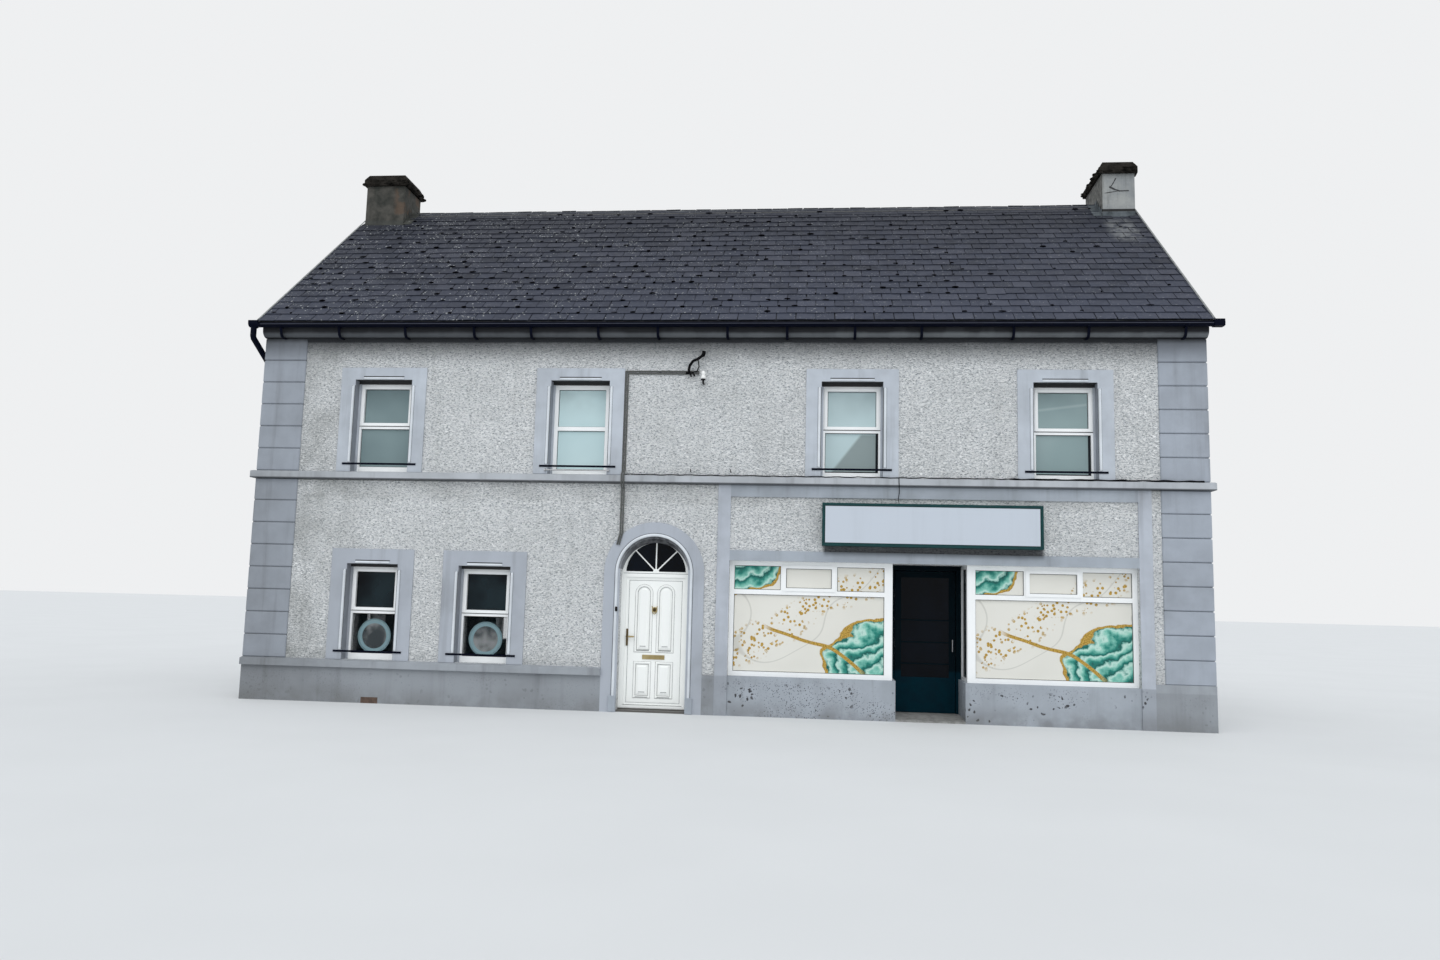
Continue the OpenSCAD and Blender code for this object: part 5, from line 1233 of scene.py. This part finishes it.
# Painted shade in the gap round the leaf
LINE_T = 0.0012
x0, x1, z0, z1 = LEAF_MID - 0.396, LEAF_MID + 0.408, leaf_lo.z + 0.03, leaf_hi.z - 0.054
for xs, zs in (
    ((x0, x0 + 0.006), (z0, z1)),
    ((x1 - 0.006, x1), (z0, z1)),
    ((x0, x1), (z0, z0 + 0.005)),
    ((x0, x1), (z1 - 0.006, z1)),
):
    lines.box(*zip(xs, (y - LINE_T, y + 0.001), zs), 0.0003)
lines.finish("door_leaf_gap_shade", SEAM_SHADE, "white_frame", body="house_door")
knob_lo, knob_hi = max(islands("house_door_furniture"), key=lambda pair: pair[1].z)
knob = Vector(((knob_lo.x + knob_hi.x) / 2, knob_lo.y, (knob_lo.z + knob_hi.z) / 2))
plate = Piece()
plate.lathe(knob + Vector((0, 0.004, 0)), (0, -1, 0), ((0.0, 0.02), (0.001, 0.03), (0.006, 0.024), (0.01, 0.006)), 18)
plate.finish("knocker_plate", TARNISH, "brass", body="house_door")
knocker = Piece()
for turn in (-1, 1):
    ear = [(0.01, 0.0, 0.01), (0.03, -0.006, 0.03), (0.042, -0.006, 0.055)]
    knocker.tube([knob + Vector((turn * x, y - 0.003, z)) for x, y, z in ear], 0.007, 8)
swing = [(-0.028, 0.0), (-0.03, -0.03), (-0.016, -0.055), (0.0, -0.062), (0.016, -0.055), (0.03, -0.03), (0.028, 0.0)]
knocker.tube([knob + Vector((x, -0.01, z)) for x, z in swing], 0.006, 8)
knocker.finish("knocker_ring", BRASS, "brass", body="house_door", smooth=True)
# Painted shade line along the transom's lower edge
rail = Piece()
rail.box((frame_lo.x + 0.02, frame_lo.y - LINE_T, 2.034), (frame_hi.x - 0.02, frame_lo.y + 0.001, 2.041), 0.0003)
rail.finish("transom_shade_line", SEAM_SHADE, "white_frame")

lo, hi = SIGN
SIGN_RIM = 0.046
face = Piece()
face.box((lo.x + SIGN_RIM, lo.y + 0.006, lo.z + SIGN_RIM), (hi.x - SIGN_RIM, lo.y + 0.012, hi.z - SIGN_RIM), 0.001)
face.finish("sign_face", sign_panel(), "white_frame")

# Gutters, cables and small ironwork

ARM = ((-0.019, -0.006), (0.019, -0.006), (0.019, 0.006), (-0.019, 0.006))
under = EAVES_Z - 0.012
arms = Piece()
for lo, hi in islands("gutter_brackets"):
    x, side = (lo.x + hi.x) / 2, -1 if lo.y < 0 else 1
    spots = ((0.2, lo.z + 0.002), (0.185, lo.z - 0.03), (0.16, under + 0.035), (0.125, under + 0.004))
    arms.sweep(ARM, [(x, side * (BACK + out), z) for out, z in (*spots, (0.06, under), (-0.002, under))])
arms.finish("gutter_arms", BLACK, "black_iron")

# Deep end boxes of the gutters, and downpipes with their swan necks, sockets and clips
gutter_lo, gutter_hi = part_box("gutters")
BOX_W, BOX_UP, END_IN, PIPE_R = 0.124, 0.04, 0.016, 0.045
LIP_Z = (5.768, 5.778)
CLIPS = (5.2, 3.62, 1.9, 0.5)
SOCKET = ((0, PIPE_R), (0.004, 0.053), (0.066, 0.053), (0.07, PIPE_R))
ends, pipes, lips = Piece(), Piece(), Piece()
box_top, foot = gutter_hi.z + BOX_UP, gutter_lo.z
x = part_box("downpipes")[0].x + 0.035
for side in (-1, 1):
    near, far = sorted((side * (gutter_hi.y - BOX_W), side * gutter_hi.y))
    ends.box((verge_x[1] - 0.02, near, foot), (gutter_hi.x, far, box_top), 0.006)
    rings = []
    for z, inset in ((box_top, 0.0), (foot + 0.05, 0.0), (foot + 0.03, END_IN), (foot - 0.01, 2 * END_IN)):
        x0, x1 = gutter_lo.x + inset, verge_x[0] + 0.02 - inset
        y0, y1 = near + inset, far - inset
        rings.append([(x0, y0, z), (x1, y0, z), (x1, y1, z), (x0, y1, z)])
    ends.skin(rings)
    outlet, wall = side * (gutter_hi.y - BOX_W / 2), side * (BACK - 0.3)
    bends = ((outlet, foot), (outlet, 5.6), (outlet - side * 0.015, 5.565), (wall + side * 0.02, 5.29), (wall, 5.255))
    pipes.tube([(x, y, z) for y, z in (*bends, (wall, 0.06))], PIPE_R, 14)
    for z in CLIPS:
        pipes.lathe((x, wall, z - 0.035), (0, 0, 1), SOCKET, 14)
        pipes.box((x, wall - 0.015, z - 0.02), (LEFT + TRIM, wall + 0.015, z + 0.02), 0.002)
    # A painted highlight along the gutter's front lip
    lip_y = [side * (gutter_hi.y + out) for out in (-0.001, 0.004)]
    lips.box(*zip((gutter_lo.x + 0.2, gutter_hi.x - 0.16), lip_y, LIP_Z), 0.001)
lips.finish("gutter_lips", LIP, "black_rainwater")
ends.finish("gutter_end_boxes", BLACK, "black_rainwater")
pipes.finish("swan_neck_pipes", BLACK, "black_rainwater", replaces=("downpipes",))

# Cable along the string course, its drop behind the sign box and the tangle at the wall hook
CABLE_X, DROP_X, CABLE_POINTS, WORN_FROM = (5.82, 14.2), 9.9, 90, 60
cable = Piece()
rng = random.Random(5)
edge_y = FRONT - 0.052
run = []
for k in range(CABLE_POINTS):
    x = along(CABLE_X[0]) + (along(CABLE_X[1]) - along(CABLE_X[0])) * k / (CABLE_POINTS - 1)
    run.append((x, edge_y - 0.008 * math.sin(k * 0.7), string_hi.z + 0.004 * math.sin(k * 1.9) + rng.uniform(0, 0.004)))
thick = [0.0075 + (0.008 * abs(math.sin(k * 0.55)) if k > WORN_FROM else 0.0) for k in range(CABLE_POINTS)]
cable.tube(run, thick, 6)
drop = (
    (0.0, edge_y, string_hi.z + 0.004),
    (0.0, string_lo.y - 0.006, string_hi.z - 0.02),
    (0.004, string_lo.y - 0.007, string_lo.z),
    (0.01, FRONT - 0.04, string_lo.z - 0.09),
    (-0.004, FRONT - 0.05, SIGN[1].z + 0.08),
    (0.004, FRONT - 0.08, SIGN[1].z + 0.004),
)
cable.tube([(along(DROP_X) + x, y, z) for x, y, z in drop], 0.006, 6)
# Radius, then x from the left corner, distance from the wall and z
for radius, loop in (
    (0.021, ((6.72, 0.03, 5.06), (6.765, 0.05, 5.065), (6.762, 0.07, 5.11), (6.775, 0.08, 5.165), (6.822, 0.08, 5.238),
             (6.897, 0.08, 5.269), (6.956, 0.08, 5.315), (6.985, 0.06, 5.345))),
    (0.009, ((6.8, 0.05, 5.06), (6.887, 0.08, 5.084), (6.915, 0.08, 5.146), (6.91, 0.08, 5.2), (6.895, 0.08, 5.265))),
    (0.012, ((6.78, 0.05, 5.07), (6.8, 0.07, 5.0))),
    (0.012, ((6.82, 0.05, 5.07), (6.85, 0.07, 5.01))),
    (0.03, ((6.962, 0.05, 5.325), (6.98, 0.06, 5.355), (6.984, 0.06, 5.395))),
):
    cable.tube([(along(x), FRONT - out, z) for x, out, z in loop], radius, 8)
cable.finish("wall_cables", CABLE, "grey_pipe", smooth=True)

PIN_XS, PIN_Z = (6.829, 7.43), 3.56
PORCELAIN_SHAPE = (
    (0.0, 0.015), (0.004, 0.036), (0.04, 0.04), (0.05, 0.026),
    (0.062, 0.024), (0.074, 0.034), (0.11, 0.03), (0.125, 0.012),
)
hook = Vector((along(6.987), FRONT, 4.9))
ironwork = Piece()
ironwork.tube([hook + Vector(d) for d in ((0, 0.01, 0), (0, -0.085, 0), (0, -0.1, 0.015), (0, -0.1, 0.06))], 0.014)
ironwork.tube([hook + Vector((0, -0.1, 0.04)), hook + Vector((0, -0.1, 0.058))], 0.034)
for x in (along(x) for x in PIN_XS):
    ironwork.tube([(x, FRONT - out, PIN_Z + up) for out, up in ((-0.01, 0.0), (0.06, 0.0), (0.065, 0.04))], 0.007)
ironwork.box((along(5.76), PLASTER_Y - 0.055, 1.465), (along(5.795), PLASTER_Y - 0.02, 1.533), 0.006)
ironwork.finish("small_ironwork", IRON, "black_iron")
insulator = Piece()
insulator.lathe(hook + Vector((0, -0.1, 0.058)), (0, 0, 1), PORCELAIN_SHAPE, 16)
insulator.finish("porcelain_insulator", PORCELAIN, "white_frame", smooth=True)

# Windows

GASKET = 0.007
gaskets = Piece()
for lo, hi in islands("window_glass") + islands("shop_window_glass"):
    thin = 1 if hi.y - lo.y < hi.x - lo.x else 0
    flat = 1 - thin
    outside, out = (lo[thin], -1) if lo[thin] < 0 else (hi[thin], 1)
    for u0, u1, v0, v1 in (
        (lo[flat], hi[flat], lo.z, lo.z + GASKET),
        (lo[flat], hi[flat], hi.z - GASKET, hi.z),
        (lo[flat], lo[flat] + GASKET, lo.z + GASKET, hi.z - GASKET),
        (hi[flat] - GASKET, hi[flat], lo.z + GASKET, hi.z - GASKET),
    ):
        spans = {flat: (u0, u1), thin: (outside, outside + out * 0.004), 2: (v0, v1)}
        gaskets.box(*zip(*(spans[axis] for axis in range(3))), 0.0008)
gaskets.finish("glazing_gaskets", BLACK_RUBBER_AND_SHADE, "black_rainwater")

upper_front = [w for w in windows if w[1].y < -FACE_Y and w[0].z > string_lo.z]
lo, hi = min(upper_front, key=lambda w: abs(w[0].x - along(SECOND_X)))
ROD_Y, ROD_Z = FRONT - 0.045, 3.56
rod = Piece()
rod.tube([(lo.x - 0.02, ROD_Y, ROD_Z), (hi.x + 0.02, ROD_Y, ROD_Z)], 0.009)
for x in (lo.x - 0.042, hi.x + 0.018):
    rod.lathe((x, ROD_Y, ROD_Z), (1, 0, 0), ((0, 0.012), (0.004, 0.022), (0.02, 0.022), (0.024, 0.012)), 14)
rod.finish("sill_rod", STEEL, "steel")
